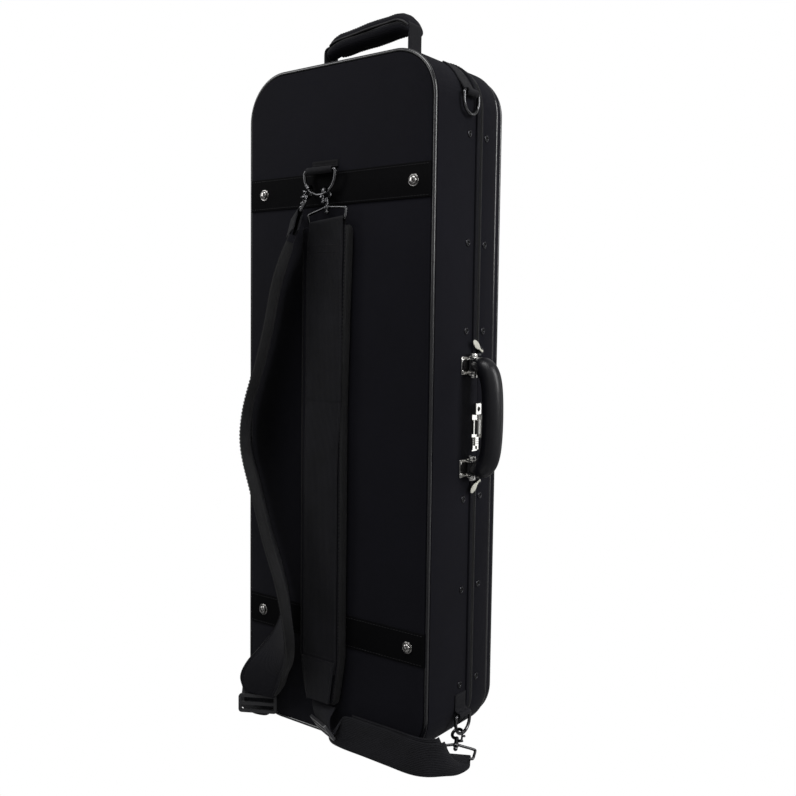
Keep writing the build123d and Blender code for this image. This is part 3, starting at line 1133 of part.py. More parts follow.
def neck_cradle():
    """The padded block with a round notch that the viola's neck lies in."""
    half = CENTRE_CHANNEL / 2 - SOFT_GAP
    cradle = block(-half, half, LINING_Y, CUSHION_TOP_Y, NECK_BLOCK_Z, NECK_BLOCK_Z + NECK_BLOCK_LENGTH)
    notch_top = NECK_FLOOR_Y + NECK_CHANNEL / 2
    notch = rod((0, notch_top, NECK_BLOCK_Z), (0, notch_top, NECK_BLOCK_Z + NECK_BLOCK_LENGTH), NECK_CHANNEL / 2)
    notch += block(-NECK_CHANNEL / 2, NECK_CHANNEL / 2, notch_top, CUSHION_TOP_Y, NECK_BLOCK_Z,
                   NECK_BLOCK_Z + NECK_BLOCK_LENGTH)
    return cradle - notch


def neck_strap():
    """The soft strap that ties the neck down over its cradle."""
    half = CENTRE_CHANNEL / 2 - SOFT_GAP
    middle = NECK_BLOCK_Z + NECK_BLOCK_LENGTH / 2
    low = CUSHION_TOP_Y + SOFT_GAP
    strap = block(-half, half, low, low + WEBBING_THICKNESS, middle - WEBBING_WIDTH / 2, middle + WEBBING_WIDTH / 2)
    return fillet(strap.edges().filter_by(Axis.Y), WEBBING_THICKNESS)


def accessory_box(side):
    """An open box beside the neck, its outer corner round like the shell's."""
    near = side * CENTRE_CHANNEL / 2
    far = side * CASE_WIDTH
    z_low = CUSHION_TOP_Z + SOFT_GAP
    zone = block(min(near, far), max(near, far), LINING_Y, BOX_TOP_Y, z_low, CASE_LENGTH)
    box = inset_slab(BODY_WALL + SOFT_GAP, LINING_Y, BOX_TOP_Y) & zone
    inner_near = near + side * BOX_WALL
    inner = block(min(inner_near, far), max(inner_near, far), LINING_Y + BOX_FLOOR, BOX_TOP_Y, z_low + BOX_WALL,
                  CASE_LENGTH)
    return box - (inset_slab(BODY_WALL + SOFT_GAP + BOX_WALL, LINING_Y + BOX_FLOOR, BOX_TOP_Y) & inner)


def lid_padding():
    """The plush-covered padding inside the lid."""
    return inset_slab(LID_WALL + SOFT_GAP, LID_PAD_Y, LID_INSIDE_Y)


def lid_stays():
    """The ribbons near the two ends that stop the lid."""
    stays = []
    near = BODY_WALL + LIP_THICKNESS + SOFT_GAP
    for z_low in (near, CASE_LENGTH - near - STAY_THICKNESS):
        stays.append(block(STAY_X, STAY_X + STAY_WIDTH, SEAM_Y - LIP_ROOT + SOFT_GAP, LID_PAD_Y - SOFT_GAP, z_low,
                           z_low + STAY_THICKNESS))
    return Compound(children=stays)


def bow_lever(side):
    """A turning lever that holds a bow's stick against the lid."""
    top = LID_PAD_Y - BOW_BASE_HEIGHT - BOW_LEVER_GAP
    outline = SlotCenterToCenter(BOW_LEVER_LENGTH, BOW_LEVER_WIDTH)
    place = Pos(side * BOW_X, top, BOW_LEVER_Z)
    lever = extrude(Plane.XZ * outline, amount=BOW_LEVER_THICKNESS, dir=(0, -1, 0))
    lever = fillet(lever.faces().sort_by(Axis.Y)[0].edges(), BOW_LEVER_THICKNESS / 3)
    return place * (lever - rod((0, 0, 0), (0, -BOW_LEVER_THICKNESS, 0), BOW_PIVOT_RADIUS + BOW_PIVOT_GAP))


def bow_bases():
    """The two posts that the bow levers turn on."""
    bases = []
    for side in (-1, 1):
        x = side * BOW_X
        foot = rod((x, LID_PAD_Y, BOW_LEVER_Z), (x, LID_PAD_Y - BOW_BASE_HEIGHT, BOW_LEVER_Z), BOW_POST_RADIUS)
        end = LID_PAD_Y - BOW_BASE_HEIGHT - BOW_LEVER_THICKNESS - 2 * BOW_LEVER_GAP
        pivot = rod((x, LID_PAD_Y, BOW_LEVER_Z), (x, end, BOW_LEVER_Z), BOW_PIVOT_RADIUS)
        head = rod((x, end, BOW_LEVER_Z), (x, end - BOW_HEAD_THICKNESS, BOW_LEVER_Z), BOW_POST_RADIUS)
        bases.append(foot + pivot + head)
    return Compound(children=bases)


def bow_tip_holder():
    """The padded sleeves that the tips of the bows slide into."""
    sleeves = []
    for side in (-1, 1):
        x = side * BOW_X
        low_y = LID_PAD_Y - TIP_HOLDER_DEPTH
        sleeve = block(x - TIP_HOLDER_WIDTH / 2, x + TIP_HOLDER_WIDTH / 2, low_y, LID_PAD_Y, TIP_HOLDER_Z,
                       TIP_HOLDER_Z + TIP_HOLDER_LENGTH)
        sleeve = fillet(sleeve.faces().sort_by(Axis.Y)[0].edges().filter_by(Axis.Z), TIP_WALL)
        slot = block(x - TIP_SLOT / 2, x + TIP_SLOT / 2, low_y + TIP_WALL, LID_PAD_Y - TIP_WALL, TIP_HOLDER_Z,
                     TIP_HOLDER_Z + TIP_HOLDER_LENGTH - TIP_WALL)
        sleeves.append(sleeve - slot)
    return Compound(children=sleeves)


def loop_bar(place, drop):
    """The middle of a loop's lower bar on a placed hook."""
    return place.from_local_coords(Vector(0, 0, -drop))


BACK_RING_PLANE = Plane(origin=(BACK_RING_X, BACK_RING_Y, BACK_RING_Z), x_dir=(1, 0, 0), z_dir=(0, 0, 1))
LOOP_BOTTOM_DROP = HOOK_EYE + HOOK_SHANK / 2 + HOOK_LOOP_GAP + LOOP_HEIGHT
RIGHT_TOP_HOOK = hook_place(BACK_RING_PLANE, BACK_RING_WIDTH, BACK_RING_DEPTH, 26, (0.1, -0.05, -0.99))
LEFT_TOP_HOOK = hook_place(BACK_RING_PLANE, BACK_RING_WIDTH, BACK_RING_DEPTH, -42, (-0.18, -0.42, -0.89))
RIGHT_LOWER_HOOK = hook_place(side_ring_plane(1, LOWER_RING_Y, LOWER_RING_Z), SIDE_RING_WIDTH, SIDE_RING_DEPTH,
                              -LOWER_HOOK_ANGLE, (0.38, -0.75, -0.42))
LEFT_LOWER_HOOK = hook_place(side_ring_plane(-1, LOWER_RING_Y, LOWER_RING_Z), SIDE_RING_WIDTH, SIDE_RING_DEPTH,
                             LOWER_HOOK_ANGLE, (-0.38, -0.75, -0.42))
LEFT_LOOP_ACROSS = (0.75, -0.66, 0)
LOWER_LOOP_ACROSS = (-0.884, -0.468, 0)


def main():
    """Build every piece and write it under its own name."""
    save("body_shell", body_shell())
    save("back_piping", piping(BACK_Y + PIPING_RADIUS))
    save("back_bands", back_bands())
    save("back_studs", back_studs())
    save("body_rivets", rivets(BODY_RIVET_Y))
    save("zip_chain", zip_chain())
    save("zip_flaps", zip_flaps())
    for name, post_z, up in (("upper", HANDLE_CENTRE_Z + SLIDER_PARK, 1), ("lower", HANDLE_CENTRE_Z - SLIDER_PARK, -1)):
        save(name + "_zip_slider", zip_slider(post_z, up))
        save(name + "_zip_pull", zip_pull(post_z, up))
    save("handle_posts", handle_posts())
    save("carry_handle", carry_handle())
    save("lock_plate", lock_plate())
    save("key_cylinder", key_cylinder())
    save("release_slide", release_slide())
    save("hasp_plate", hasp_plate())
    save("lock_hasp", lock_hasp())
    save("hinge_body_leaves", hinge_leaves(0))
    save("hinge_lid_leaves", hinge_leaves(1))
    save("hinge_pins", hinge_pins())
    save("back_ring_tab", back_ring_tab())
    save("back_d_ring", BACK_RING_PLANE * d_ring(BACK_RING_WIDTH, BACK_RING_DEPTH))
    save("side_ring_tabs", side_ring_tabs())
    ring = d_ring(SIDE_RING_WIDTH, SIDE_RING_DEPTH)
    save("upper_side_d_ring", side_ring_plane(1, UPPER_RING_Y, UPPER_RING_Z) * ring)
    save("lower_right_d_ring", side_ring_plane(1, LOWER_RING_Y, LOWER_RING_Z) * ring)
    save("lower_left_d_ring", side_ring_plane(-1, LOWER_RING_Y, LOWER_RING_Z) * ring)
    left_across = (-LOWER_LOOP_ACROSS[0], LOWER_LOOP_ACROSS[1], 0)
    for name, place, across, width in (("right_top", RIGHT_TOP_HOOK, (1, 0, 0), LOOP_BOTTOM),
                                       ("left_top", LEFT_TOP_HOOK, LEFT_LOOP_ACROSS, LOOP_BOTTOM),
                                       ("right_lower", RIGHT_LOWER_HOOK, LOWER_LOOP_ACROSS, LOWER_LOOP_WIDTH),
                                       ("left_lower", LEFT_LOWER_HOOK, left_across, LOWER_LOOP_WIDTH)):
        save(name + "_hook", snap_hook(place, across, width))
        save(name + "_trigger", place * hook_trigger())
    save("right_shoulder_pad", right_shoulder_pad())
    save("left_shoulder_pad", left_shoulder_pad())
    save("right_strap_webbing", right_strap_webbing())
    save("left_strap_webbing", left_strap_webbing())
    save("strap_adjusters", strap_adjusters())
    save("top_handle_anchors", top_handle_anchors())
    save("top_handle_webbing", top_handle_webbing())
    save("top_handle_wrap", wrap_leaf(1))
    save("top_handle_leaf", wrap_leaf(-1))
    save("lid_shell", lid_shell())
    save("lid_padding", lid_padding())
    save("lid_pipings", lid_pipings())
    save("lid_rivets", rivets(LID_RIVET_Y))
    save("lid_stays", lid_stays())
    save("music_pocket", music_pocket())
    save("pocket_zip_slider", pocket_zip_slider())
    save("bow_bases", bow_bases())
    save("left_bow_lever", bow_lever(-1))
    save("right_bow_lever", bow_lever(1))
    save("bow_tip_holder", bow_tip_holder())
    save("back_lining", back_lining())
    save("side_cushions", side_cushions())
    save("suspension_pads", suspension_pads())
    save("neck_cradle", Compound(children=[neck_cradle(), neck_strap()]))
    save("accessory_boxes", Compound(children=[accessory_box(-1), accessory_box(1)]))


main()
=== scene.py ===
"""Looks of the viola case: cloth-covered shells, straps, hardware and the plush inside."""
import json
import math

import bmesh
import bpy
from mathutils import Matrix, Vector


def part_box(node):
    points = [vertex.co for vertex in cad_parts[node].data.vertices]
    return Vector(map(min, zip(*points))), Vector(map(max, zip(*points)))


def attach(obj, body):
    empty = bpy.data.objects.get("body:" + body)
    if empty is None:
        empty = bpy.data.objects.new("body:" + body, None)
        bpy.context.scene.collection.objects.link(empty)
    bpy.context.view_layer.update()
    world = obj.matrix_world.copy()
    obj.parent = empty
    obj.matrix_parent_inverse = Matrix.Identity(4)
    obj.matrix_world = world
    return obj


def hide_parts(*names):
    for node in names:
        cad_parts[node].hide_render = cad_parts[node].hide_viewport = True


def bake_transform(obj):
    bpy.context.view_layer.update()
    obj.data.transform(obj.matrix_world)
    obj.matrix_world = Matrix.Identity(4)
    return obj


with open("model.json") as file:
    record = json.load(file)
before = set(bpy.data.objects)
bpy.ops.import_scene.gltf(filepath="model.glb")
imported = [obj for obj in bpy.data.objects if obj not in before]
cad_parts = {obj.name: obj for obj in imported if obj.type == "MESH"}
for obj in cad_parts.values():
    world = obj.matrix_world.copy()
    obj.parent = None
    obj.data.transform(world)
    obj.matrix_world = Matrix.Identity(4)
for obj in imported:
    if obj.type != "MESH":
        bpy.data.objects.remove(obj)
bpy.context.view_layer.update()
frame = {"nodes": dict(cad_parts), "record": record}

# All places below are millimetres in the row frame, and are scaled to metres when a mesh is made
MM = 0.001

# Case
HALF_WIDTH = 142.5
LENGTH = 810.0
CORNER = 57.0
BACK_Y = -65.5
SEAM_Y = 29.5
LID_Y = 65.5
POCKET_Y = 79.5
POCKET_INSET = 3.0
PIPING = 2.25
PIPING_STEP = 2 * PIPING + 0.15
SMALLEST_CORNER = 0.4

# Camera, solved from the straight edges of the case in the photograph
CAMERA_AZIMUTH = 36.876
CAMERA_ELEVATION = 4.370
CAMERA_ROLL = 0.752
CAMERA_PLACE = (727.65, -907.09, 501.69)
CAMERA_FOCAL_PX = 930.54
IMAGE_WIDTH_PX = 796
SENSOR_MM = 36.0


# Mesh helpers

def smooth(obj, angle=40.0):
    """Smooth shading with sharp edges kept above an angle."""
    mesh = obj.data
    bm = bmesh.new()
    bm.from_mesh(mesh)
    limit = math.radians(angle)
    for face in bm.faces:
        face.smooth = True
    for edge in bm.edges:
        if len(edge.link_faces) == 2:
            edge.smooth = edge.calc_face_angle(0) < limit
    bm.to_mesh(mesh)
    bm.free()
    return obj


def make(name, verts, faces, material, body, replaces=(), slot=None, angle=40.0, strip=None):
    """A mesh piece from points in millimetres, riding on a body, or left free to blend where body is None."""
    mesh = bpy.data.meshes.new(name)
    mesh.from_pydata([Vector(v) * MM for v in verts], [], faces)
    mesh.validate()
    if strip:
        layer = mesh.uv_layers.new(name="strip")
        for loop in mesh.loops:
            layer.data[loop.index].uv = strip[loop.vertex_index]
    obj = bpy.data.objects.new(name, mesh)
    bpy.context.scene.collection.objects.link(obj)
    bm = bmesh.new()
    bm.from_mesh(mesh)
    bmesh.ops.recalc_face_normals(bm, faces=bm.faces)
    bm.to_mesh(mesh)
    bm.free()
    mesh.materials.append(material)
    smooth(obj, angle)
    if body:
        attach(obj, body)
    if replaces:
        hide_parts(*replaces)
    return obj


class Shape:
    """Points and faces gathered for one piece."""

    def __init__(self):
        self.verts = []
        self.faces = []
        self.strip = []

    def add(self, verts, faces, strip=None):
        base = len(self.verts)
        self.verts.extend(Vector(v) for v in verts)
        self.faces.extend([base + i for i in face] for face in faces)
        self.strip.extend(strip or [(0.0, 0.0)] * len(verts))
        return self

    def make(self, name, material, body, **kind):
        has_strip = any(u or v for u, v in self.strip)
        strip = self.strip if has_strip else None
        return make(name, self.verts, self.faces, material, body, strip=strip, **kind)


def rings_to_faces(count, around, closed, caps):
    """Quads between rings of points that follow each other."""
    faces = []
    last = count if closed else count - 1
    for i in range(last):
        a = i * around
        b = ((i + 1) % count) * around
        for j in range(around):
            k = (j + 1) % around
            faces.append([a + j, a + k, b + k, b + j])
    if caps and not closed:
        faces.append(list(range(around))[::-1])
        faces.append([(count - 1) * around + j for j in range(around)])
    return faces


def tangents(points, closed):
    """The direction of a path at each of its points."""
    count = len(points)
    found = []
    for i in range(count):
        if closed:
            step = points[(i + 1) % count] - points[i - 1]
        else:
            step = points[min(i + 1, count - 1)] - points[max(i - 1, 0)]
        found.append(step.normalized())
    return found


def tube(shape, points, radius, sides=10, closed=False, flat=1.0, up=None):
    """A round or flattened tube along points, with a radius or one for each point."""
    points = [Vector(p) for p in points]
    ways = tangents(points, closed)
    normal = Vector(up) if up else ways[0].orthogonal()
    verts = []
    for i, (point, way) in enumerate(zip(points, ways)):
        normal = (normal - way * normal.dot(way)).normalized()
        side = way.cross(normal)
        r = radius[i] if isinstance(radius, (list, tuple)) else radius
        for j in range(sides):
            turn = 2 * math.pi * j / sides
            verts.append(point + normal * (r * flat * math.sin(turn)) + side * (r * math.cos(turn)))
    return shape.add(verts, rings_to_faces(len(points), sides, closed, True))


def curve_points(controls, per_span=8, closed=False):
    """Points on a smooth curve through the controls."""
    controls = [Vector(c) for c in controls]
    count = len(controls)
    spans = count if closed else count - 1
    found = []
    for i in range(spans):
        if closed:
            p0, p1, p2, p3 = (controls[(i + k - 1) % count] for k in range(4))
        else:
            p0, p1, p2, p3 = (controls[min(max(i + k - 1, 0), count - 1)] for k in range(4))
        for s in range(per_span):
            t = s / per_span
            found.append(0.5 * ((2 * p1) + (p2 - p0) * t + (2 * p0 - 5 * p1 + 4 * p2 - p3) * t * t
                                + (3 * p1 - p0 - 3 * p2 + p3) * t ** 3))
    if not closed:
        found.append(controls[-1].copy())
    return found


def lathe(shape, profile, place, steps=32):
    """A turned form from (radius, height) pairs, about the Z axis of a placing matrix."""
    verts = []
    for radius, height in profile:
        for j in range(steps):
            turn = 2 * math.pi * j / steps
            verts.append(place @ Vector((radius * math.cos(turn), radius * math.sin(turn), height)))
    return shape.add(verts, rings_to_faces(len(profile), steps, False, True))


def place_at(origin, z_axis, x_axis=None):
    """A matrix that puts local Z along z_axis at a point."""
    z = Vector(z_axis).normalized()
    x = Vector(x_axis) if x_axis else z.orthogonal()
    x = (x - z * x.dot(z)).normalized()
    y = z.cross(x)
    return Matrix((
        (x.x, y.x, z.x, origin[0]),
        (x.y, y.y, z.y, origin[1]),
        (x.z, y.z, z.z, origin[2]),
        (0, 0, 0, 1)))


def bevelled_box(shape, place, size, bevel, segments=2):
    """A box with rounded edges, centred on a placing matrix."""
    bm = bmesh.new()
    bmesh.ops.create_cube(bm, size=1.0)
    for vert in bm.verts:
        vert.co = Vector((vert.co.x * size[0], vert.co.y * size[1], vert.co.z * size[2]))
    bmesh.ops.bevel(bm, geom=list(bm.edges), offset=bevel, segments=segments, profile=0.5, affect="EDGES")
    bm.verts.index_update()
    verts = [place @ v.co for v in bm.verts]
    faces = [[v.index for v in f.verts] for f in bm.faces]
    bm.free()
    return shape.add(verts, faces)


def outline(inset, z_low=0.0, arc_steps=14, step=14.0):
    """Points (x, z) round the case's rounded rectangle, drawn in by an inset, from the bottom's middle."""
    w = HALF_WIDTH - inset
    low = z_low + inset
    high = LENGTH - inset
    r = max(CORNER - inset, SMALLEST_CORNER)
    side_count = max(2, int((LENGTH - z_low - 2 * CORNER) / step))
    end_count = max(2, int((HALF_WIDTH - CORNER) / step))
    points = []

    def run(a, b, count):
        for i in range(count):
            t = i / count
            points.append((a[0] + (b[0] - a[0]) * t, a[1] + (b[1] - a[1]) * t))

    def arc(cx, cz, start):
        for i in range(arc_steps):
            turn = math.radians(start + 90.0 * i / arc_steps)
            points.append((cx + r * math.cos(turn), cz + r * math.sin(turn)))

    run((0, low), (w - r, low), end_count)
    arc(w - r, low + r, -90)
    run((w, low + r), (w, high - r), side_count)
    arc(w - r, high - r, 0)
    run((w - r, high), (-w + r, high), 2 * end_count)
    arc(-w + r, high - r, 90)
    run((-w, high - r), (-w, low + r), side_count)
    arc(-w + r, low + r, 180)
    run((-w + r, low), (0, low), end_count)
    return points


def shell(shape, levels):
    """A skin through outlines of (inset, y) or (inset, y, lowest z), each joined to the next."""
    verts = []
    for inset, y, *low in levels:
        ring = outline(inset, *low)
        verts.extend(Vector((x, y, z)) for x, z in ring)
    return shape.add(verts, rings_to_faces(len(levels), len(ring), False, True))


def oval_tube(shape, points, across, tall, up, sides):
    """A tube of oval section: half sizes across and along the up direction for each point."""
    points = [Vector(p) for p in points]
    ways = tangents(points, False)
    verts = []
    for point, way, wide, high in zip(points, ways, across, tall):
        normal = (Vector(up) - way * way.dot(Vector(up))).normalized()
        side = way.cross(normal)
        for j in range(sides):
            turn = 2 * math.pi * j / sides
            verts.append(point + normal * (high * math.sin(turn)) + side * (wide * math.cos(turn)))
    return shape.add(verts, rings_to_faces(len(points), sides, False, True))


# The section of a flat strap, as shares of its half width and half thickness
FLAT = ((-1, 0), (-0.985, 0.7), (-0.95, 1), (-0.5, 1), (0, 1), (0.5, 1), (0.95, 1), (0.985, 0.7),
        (1, 0), (0.985, -0.7), (0.95, -1), (0.5, -1), (0, -1), (-0.5, -1), (-0.95, -1), (-0.985, -0.7))


def strip_rings(stations, per_span=6):
    """The smooth edges of a strap through (centre, across, width, thickness), with its normals there."""
    lefts = []
    rights = []
    for centre, across, width, _ in stations:
        reach = Vector(across).normalized() * (width / 2)
        lefts.append(Vector(centre) - reach)
        rights.append(Vector(centre) + reach)
    thick = [Vector((station[3], 0, 0)) for station in stations]
    if per_span > 1:
        lefts = curve_points(lefts, per_span)
        rights = curve_points(rights, per_span)
        thick = curve_points(thick, per_span)
    left_ways = tangents(lefts, False)
    right_ways = tangents(rights, False)
    rows = []
    distance = 0.0
    before = None
    for left, right, left_way, right_way, t in zip(lefts, rights, left_ways, right_ways, thick):
        across = (right - left).normalized()
        middle = (left + right) / 2
        if before is not None:
            distance += (middle - before).length
        before = middle
        rows.append((left, right, across.cross(left_way).normalized(), across.cross(right_way).normalized(),
                     t.x, distance))
    return rows


def strip_point(row, across, height, proud=0.0):
    """A point of a strap's row at shares of its half width and half thickness, and the normal there."""
    left, right, left_normal, right_normal, thickness, _ = row
    share = (across + 1) / 2
    normal = (left_normal * (1 - share) + right_normal * share).normalized()
    return left * (1 - share) + right * share + normal * (height * (thickness / 2 + proud)), normal


def strip_form(shape, rows, section=FLAT):
    """A strap with a section of shares, with strip coordinates in metres."""
    verts = []
    strip = []
    for row in rows:
        width = (row[1] - row[0]).length
        for across, height in section:
            verts.append(strip_point(row, across, height)[0])
            strip.append((across * width / 2 * MM, row[5] * MM))
    return shape.add(verts, rings_to_faces(len(rows), len(section), False, True), strip)


def strip_stitches(shape, rows, across, height=1.0, proud=0.0, **kind):
    """A row of stitches along a strap at one share of its half width."""
    points = []
    normals = []
    for row in rows:
        point, normal = strip_point(row, across, height, proud)
        points.append(point)
        normals.append(normal * (1 if height > 0 else -1))
    return stitch_row(shape, points, normals, **kind)


def binding(shape, rows, side, cover, proud, section):
    """Tape folded over one edge of a padded strap."""
    share = [(a, h) for a, h in section if a * side > 1 - cover]
    share.sort(key=lambda place: math.atan2(place[1], abs(place[0]) - 1 + cover))
    verts = []
    strip = []
    for row in rows:
        width = (row[1] - row[0]).length
        reach = proud / (width / 2)
        outer = []
        inner = []
        for a, h in share:
            out = a + side * reach if abs(a) > 1 - cover / 2 else a
            outer.append(strip_point(row, out, h, proud)[0])
            inner.append(strip_point(row, a * 0.985, h * 0.9)[0])
        for index, point in enumerate(outer + inner[::-1]):
            verts.append(point)
            strip.append((index * 1.5 * MM, row[5] * MM))
    return shape.add(verts, rings_to_faces(len(rows), 2 * len(share), False, True), strip)


def offset_loop(points, distance):
    """A closed loop of (x, z) points moved inwards by a distance."""
    count = len(points)
    area = sum(points[i][0] * points[(i + 1) % count][1] - points[(i + 1) % count][0] * points[i][1]
               for i in range(count))
    turn = 1 if area > 0 else -1
    moved = []
    for i, (x, z) in enumerate(points):
        ax, az = points[i - 1]
        bx, bz = points[(i + 1) % count]
        before = Vector((x - ax, z - az)).normalized()
        after = Vector((bx - x, bz - z)).normalized()
        normal = Vector((-(before.y + after.y), before.x + after.x)) * turn
        if normal.length < 1e-6:
            normal = Vector((-after.y, after.x)) * turn
        normal.normalize()
        lean = max(0.5, normal.dot(Vector((-after.y, after.x)) * turn))
        moved.append((x + normal.x * distance / lean, z + normal.y * distance / lean))
    return moved


def dense_loop(corners, step=8.0, radius=0.0, arc_steps=5):
    """A closed loop through (x, z) corners, rounded and divided."""
    count = len(corners)
    loop = []
    for i, corner in enumerate(corners):
        here = Vector(corner)
        before = Vector(corners[i - 1])
        after = Vector(corners[(i + 1) % count])
        to_before = (before - here).normalized()
        to_after = (after - here).normalized()
        sharp = to_before.dot(to_after) > -0.97
        r = radius if sharp else 0.0
        start = here + to_before * r
        end = here + to_after * r
        for k in range(arc_steps if r else 1):
            t = k / max(1, arc_steps - 1) if r else 0.0
            loop.append(start * (1 - t) ** 2 + here * (2 * t * (1 - t)) + end * t * t)
    divided = []
    for i, point in enumerate(loop):
        after = loop[(i + 1) % len(loop)]
        parts = max(1, int((after - point).length / step))
        divided.extend(point.lerp(after, k / parts) for k in range(parts))
    return [(p.x, p.y) for p in divided]


def cushion_form(shape, loop, y_low, y_high, radius, crown=0.0, steps=4):
    """A cushion: a loop of (x, z) points between two depths, its edges rounded on the side of y_high."""
    way = 1 if y_high > y_low else -1
    rings = [(0.0, y_low)]
    for k in range(steps + 1):
        turn = math.pi / 2 * k / steps
        rings.append((radius * (1 - math.cos(turn)), y_high - way * radius * (1 - math.sin(turn))))
    if crown:
        rings += [(radius * 2.0, y_high + way * crown * 0.6), (radius * 3.2, y_high + way * crown)]
    verts = []
    for inset, y in rings:
        verts.extend(Vector((x, y, z)) for x, z in offset_loop(loop, inset))
    around = len(loop)
    faces = rings_to_faces(len(rings), around, False, True)
    return shape.add(verts, faces)


def edge_ring(shape, inset, y, radius, sides=10, **kind):
    """A tube that runs round the case's outline."""
    points = [(x, y, z) for x, z in outline(inset, **kind)]
    return tube(shape, points, radius, sides, closed=True)


def stitch_row(shape, points, normals, pitch=4.2, length=2.7, radius=0.42, sink=0.12):
    """A row of sewn stitches along a path of points with surface normals."""
    distance = 0.0
    for (a, b), normal in zip(zip(points, points[1:]), normals):
        a = Vector(a)
        b = Vector(b)
        span = (b - a).length
        if span < 1e-6:
            continue
        way = (b - a) / span
        out = Vector(normal).normalized()
        side = way.cross(out).normalized()
        while distance < span:
            centre = a + way * distance + out * (radius * 0.35 - sink)
            verts = []
            for offset, size in ((-0.5, 0.25), (-0.28, 1.0), (0.28, 1.0), (0.5, 0.25)):
                for j in range(5):
                    turn = 2 * math.pi * j / 5
                    verts.append(centre + way * (offset * length) + side * (radius * size * math.cos(turn))
                                 + out * (radius * size * math.sin(turn)))
            shape.add(verts, rings_to_faces(4, 5, False, True))
            distance += pitch
        distance -= span
    return shape


# Materials

def node_material(name):
    """A new material with its node tree and its shader."""
    material = bpy.data.materials.new(name)
    material.use_nodes = True
    tree = material.node_tree
    return material, tree, tree.nodes["Principled BSDF"]


def maths(tree, operation, a, b=None):
    """One math node whose inputs are sockets or numbers."""
    node = tree.nodes.new("ShaderNodeMath")
    node.operation = operation
    for index, value in enumerate((a, b)):
        if value is None:
            continue
        if isinstance(value, (int, float)):
            node.inputs[index].default_value = value
        else:
            tree.links.new(value, node.inputs[index])
    return node.outputs[0]


def place_socket(tree, uv=False):
    """Object coordinates, or the piece's own strip coordinates."""
    if uv:
        node = tree.nodes.new("ShaderNodeUVMap")
        node.uv_map = "strip"
        return node.outputs[0]
    return tree.nodes.new("ShaderNodeTexCoord").outputs["Object"]


def noise(tree, place, scale, detail=3.0, roughness=0.55):
    """A noise texture's value."""
    node = tree.nodes.new("ShaderNodeTexNoise")
    node.inputs["Scale"].default_value = scale
    node.inputs["Detail"].default_value = detail
    node.inputs["Roughness"].default_value = roughness
    tree.links.new(place, node.inputs["Vector"])
    return node.outputs["Fac"]


def cells(tree, place, scale):
    """A cell texture's distance."""
    node = tree.nodes.new("ShaderNodeTexVoronoi")
    node.inputs["Scale"].default_value = scale
    tree.links.new(place, node.inputs["Vector"])
    return node.outputs["Distance"]


def weave(tree, place, pitch):
    """A plain weave: the sum of sines along the three axes, so that it shows on every face."""
    scaled = tree.nodes.new("ShaderNodeVectorMath")
    scaled.operation = "SCALE"
    scaled.inputs["Scale"].default_value = 2 * math.pi / pitch
    tree.links.new(place, scaled.inputs[0])
    waved = tree.nodes.new("ShaderNodeVectorMath")
    waved.operation = "SINE"
    tree.links.new(scaled.outputs[0], waved.inputs[0])
    total = tree.nodes.new("ShaderNodeVectorMath")
    total.operation = "DOT_PRODUCT"
    total.inputs[1].default_value = (0.33, 0.33, 0.33)
    tree.links.new(waved.outputs[0], total.inputs[0])
    return total.outputs["Value"]


def ribs(tree, place, across, along):
    """Webbing: cords along the strip crossed by a fine weft, from strip coordinates in metres."""
    parts = tree.nodes.new("ShaderNodeSeparateXYZ")
    tree.links.new(place, parts.inputs[0])
    cords = maths(tree, "SINE", maths(tree, "MULTIPLY", parts.outputs[0], 2 * math.pi / across))
    weft = maths(tree, "SINE", maths(tree, "MULTIPLY", parts.outputs[1], 2 * math.pi / along))
    shifted = maths(tree, "MULTIPLY", cords, weft)
    return maths(tree, "ADD", maths(tree, "MULTIPLY", cords, 0.6), maths(tree, "MULTIPLY", shifted, 0.4))


def bump(tree, shader, height, distance, strength=1.0, below=None):
    """A bump from a height in the range of about one, over another one if given."""
    node = tree.nodes.new("ShaderNodeBump")
    node.inputs["Strength"].default_value = strength
    node.inputs["Distance"].default_value = distance
    tree.links.new(height, node.inputs["Height"])
    if below is not None:
        tree.links.new(below, node.inputs["Normal"])
    tree.links.new(node.outputs[0], shader.inputs["Normal"])
    return node.outputs[0]


def ramp(tree, value, stops):
    """Colours or greys by a value."""
    node = tree.nodes.new("ShaderNodeValToRGB")
    elements = node.color_ramp.elements
    while len(elements) < len(stops):
        elements.new(0.5)
    for element, (position, color) in zip(elements, stops):
        element.position = position
        element.color = (*color, 1.0)
    tree.links.new(value, node.inputs[0])
    return node.outputs[0]


def grey_range(tree, value, low, high):
    """A value from zero to one spread over a range."""
    node = tree.nodes.new("ShaderNodeMapRange")
    node.inputs["To Min"].default_value = low
    node.inputs["To Max"].default_value = high
    tree.links.new(value, node.inputs["Value"])
    return node.outputs[0]


def shade(color, factor):
    """A colour made lighter or darker."""
    return tuple(min(1.0, c * factor) for c in color)


def tint(tree, shader, value, color, dark, light):
    """A base colour that goes from darker to lighter by a value; dark and light are (position, factor)."""
    stops = [(position, shade(color, factor)) for position, factor in (dark, light)]
    tree.links.new(ramp(tree, value, stops), shader.inputs["Base Color"])


def roughen(tree, shader, value, low, high):
    """A roughness that a value spreads over a range."""
    tree.links.new(grey_range(tree, value, low, high), shader.inputs["Roughness"])


def finish(shader, levels):
    """Sets sockets of the shader by their names."""
    for name, level in levels.items():
        shader.inputs[name].default_value = level


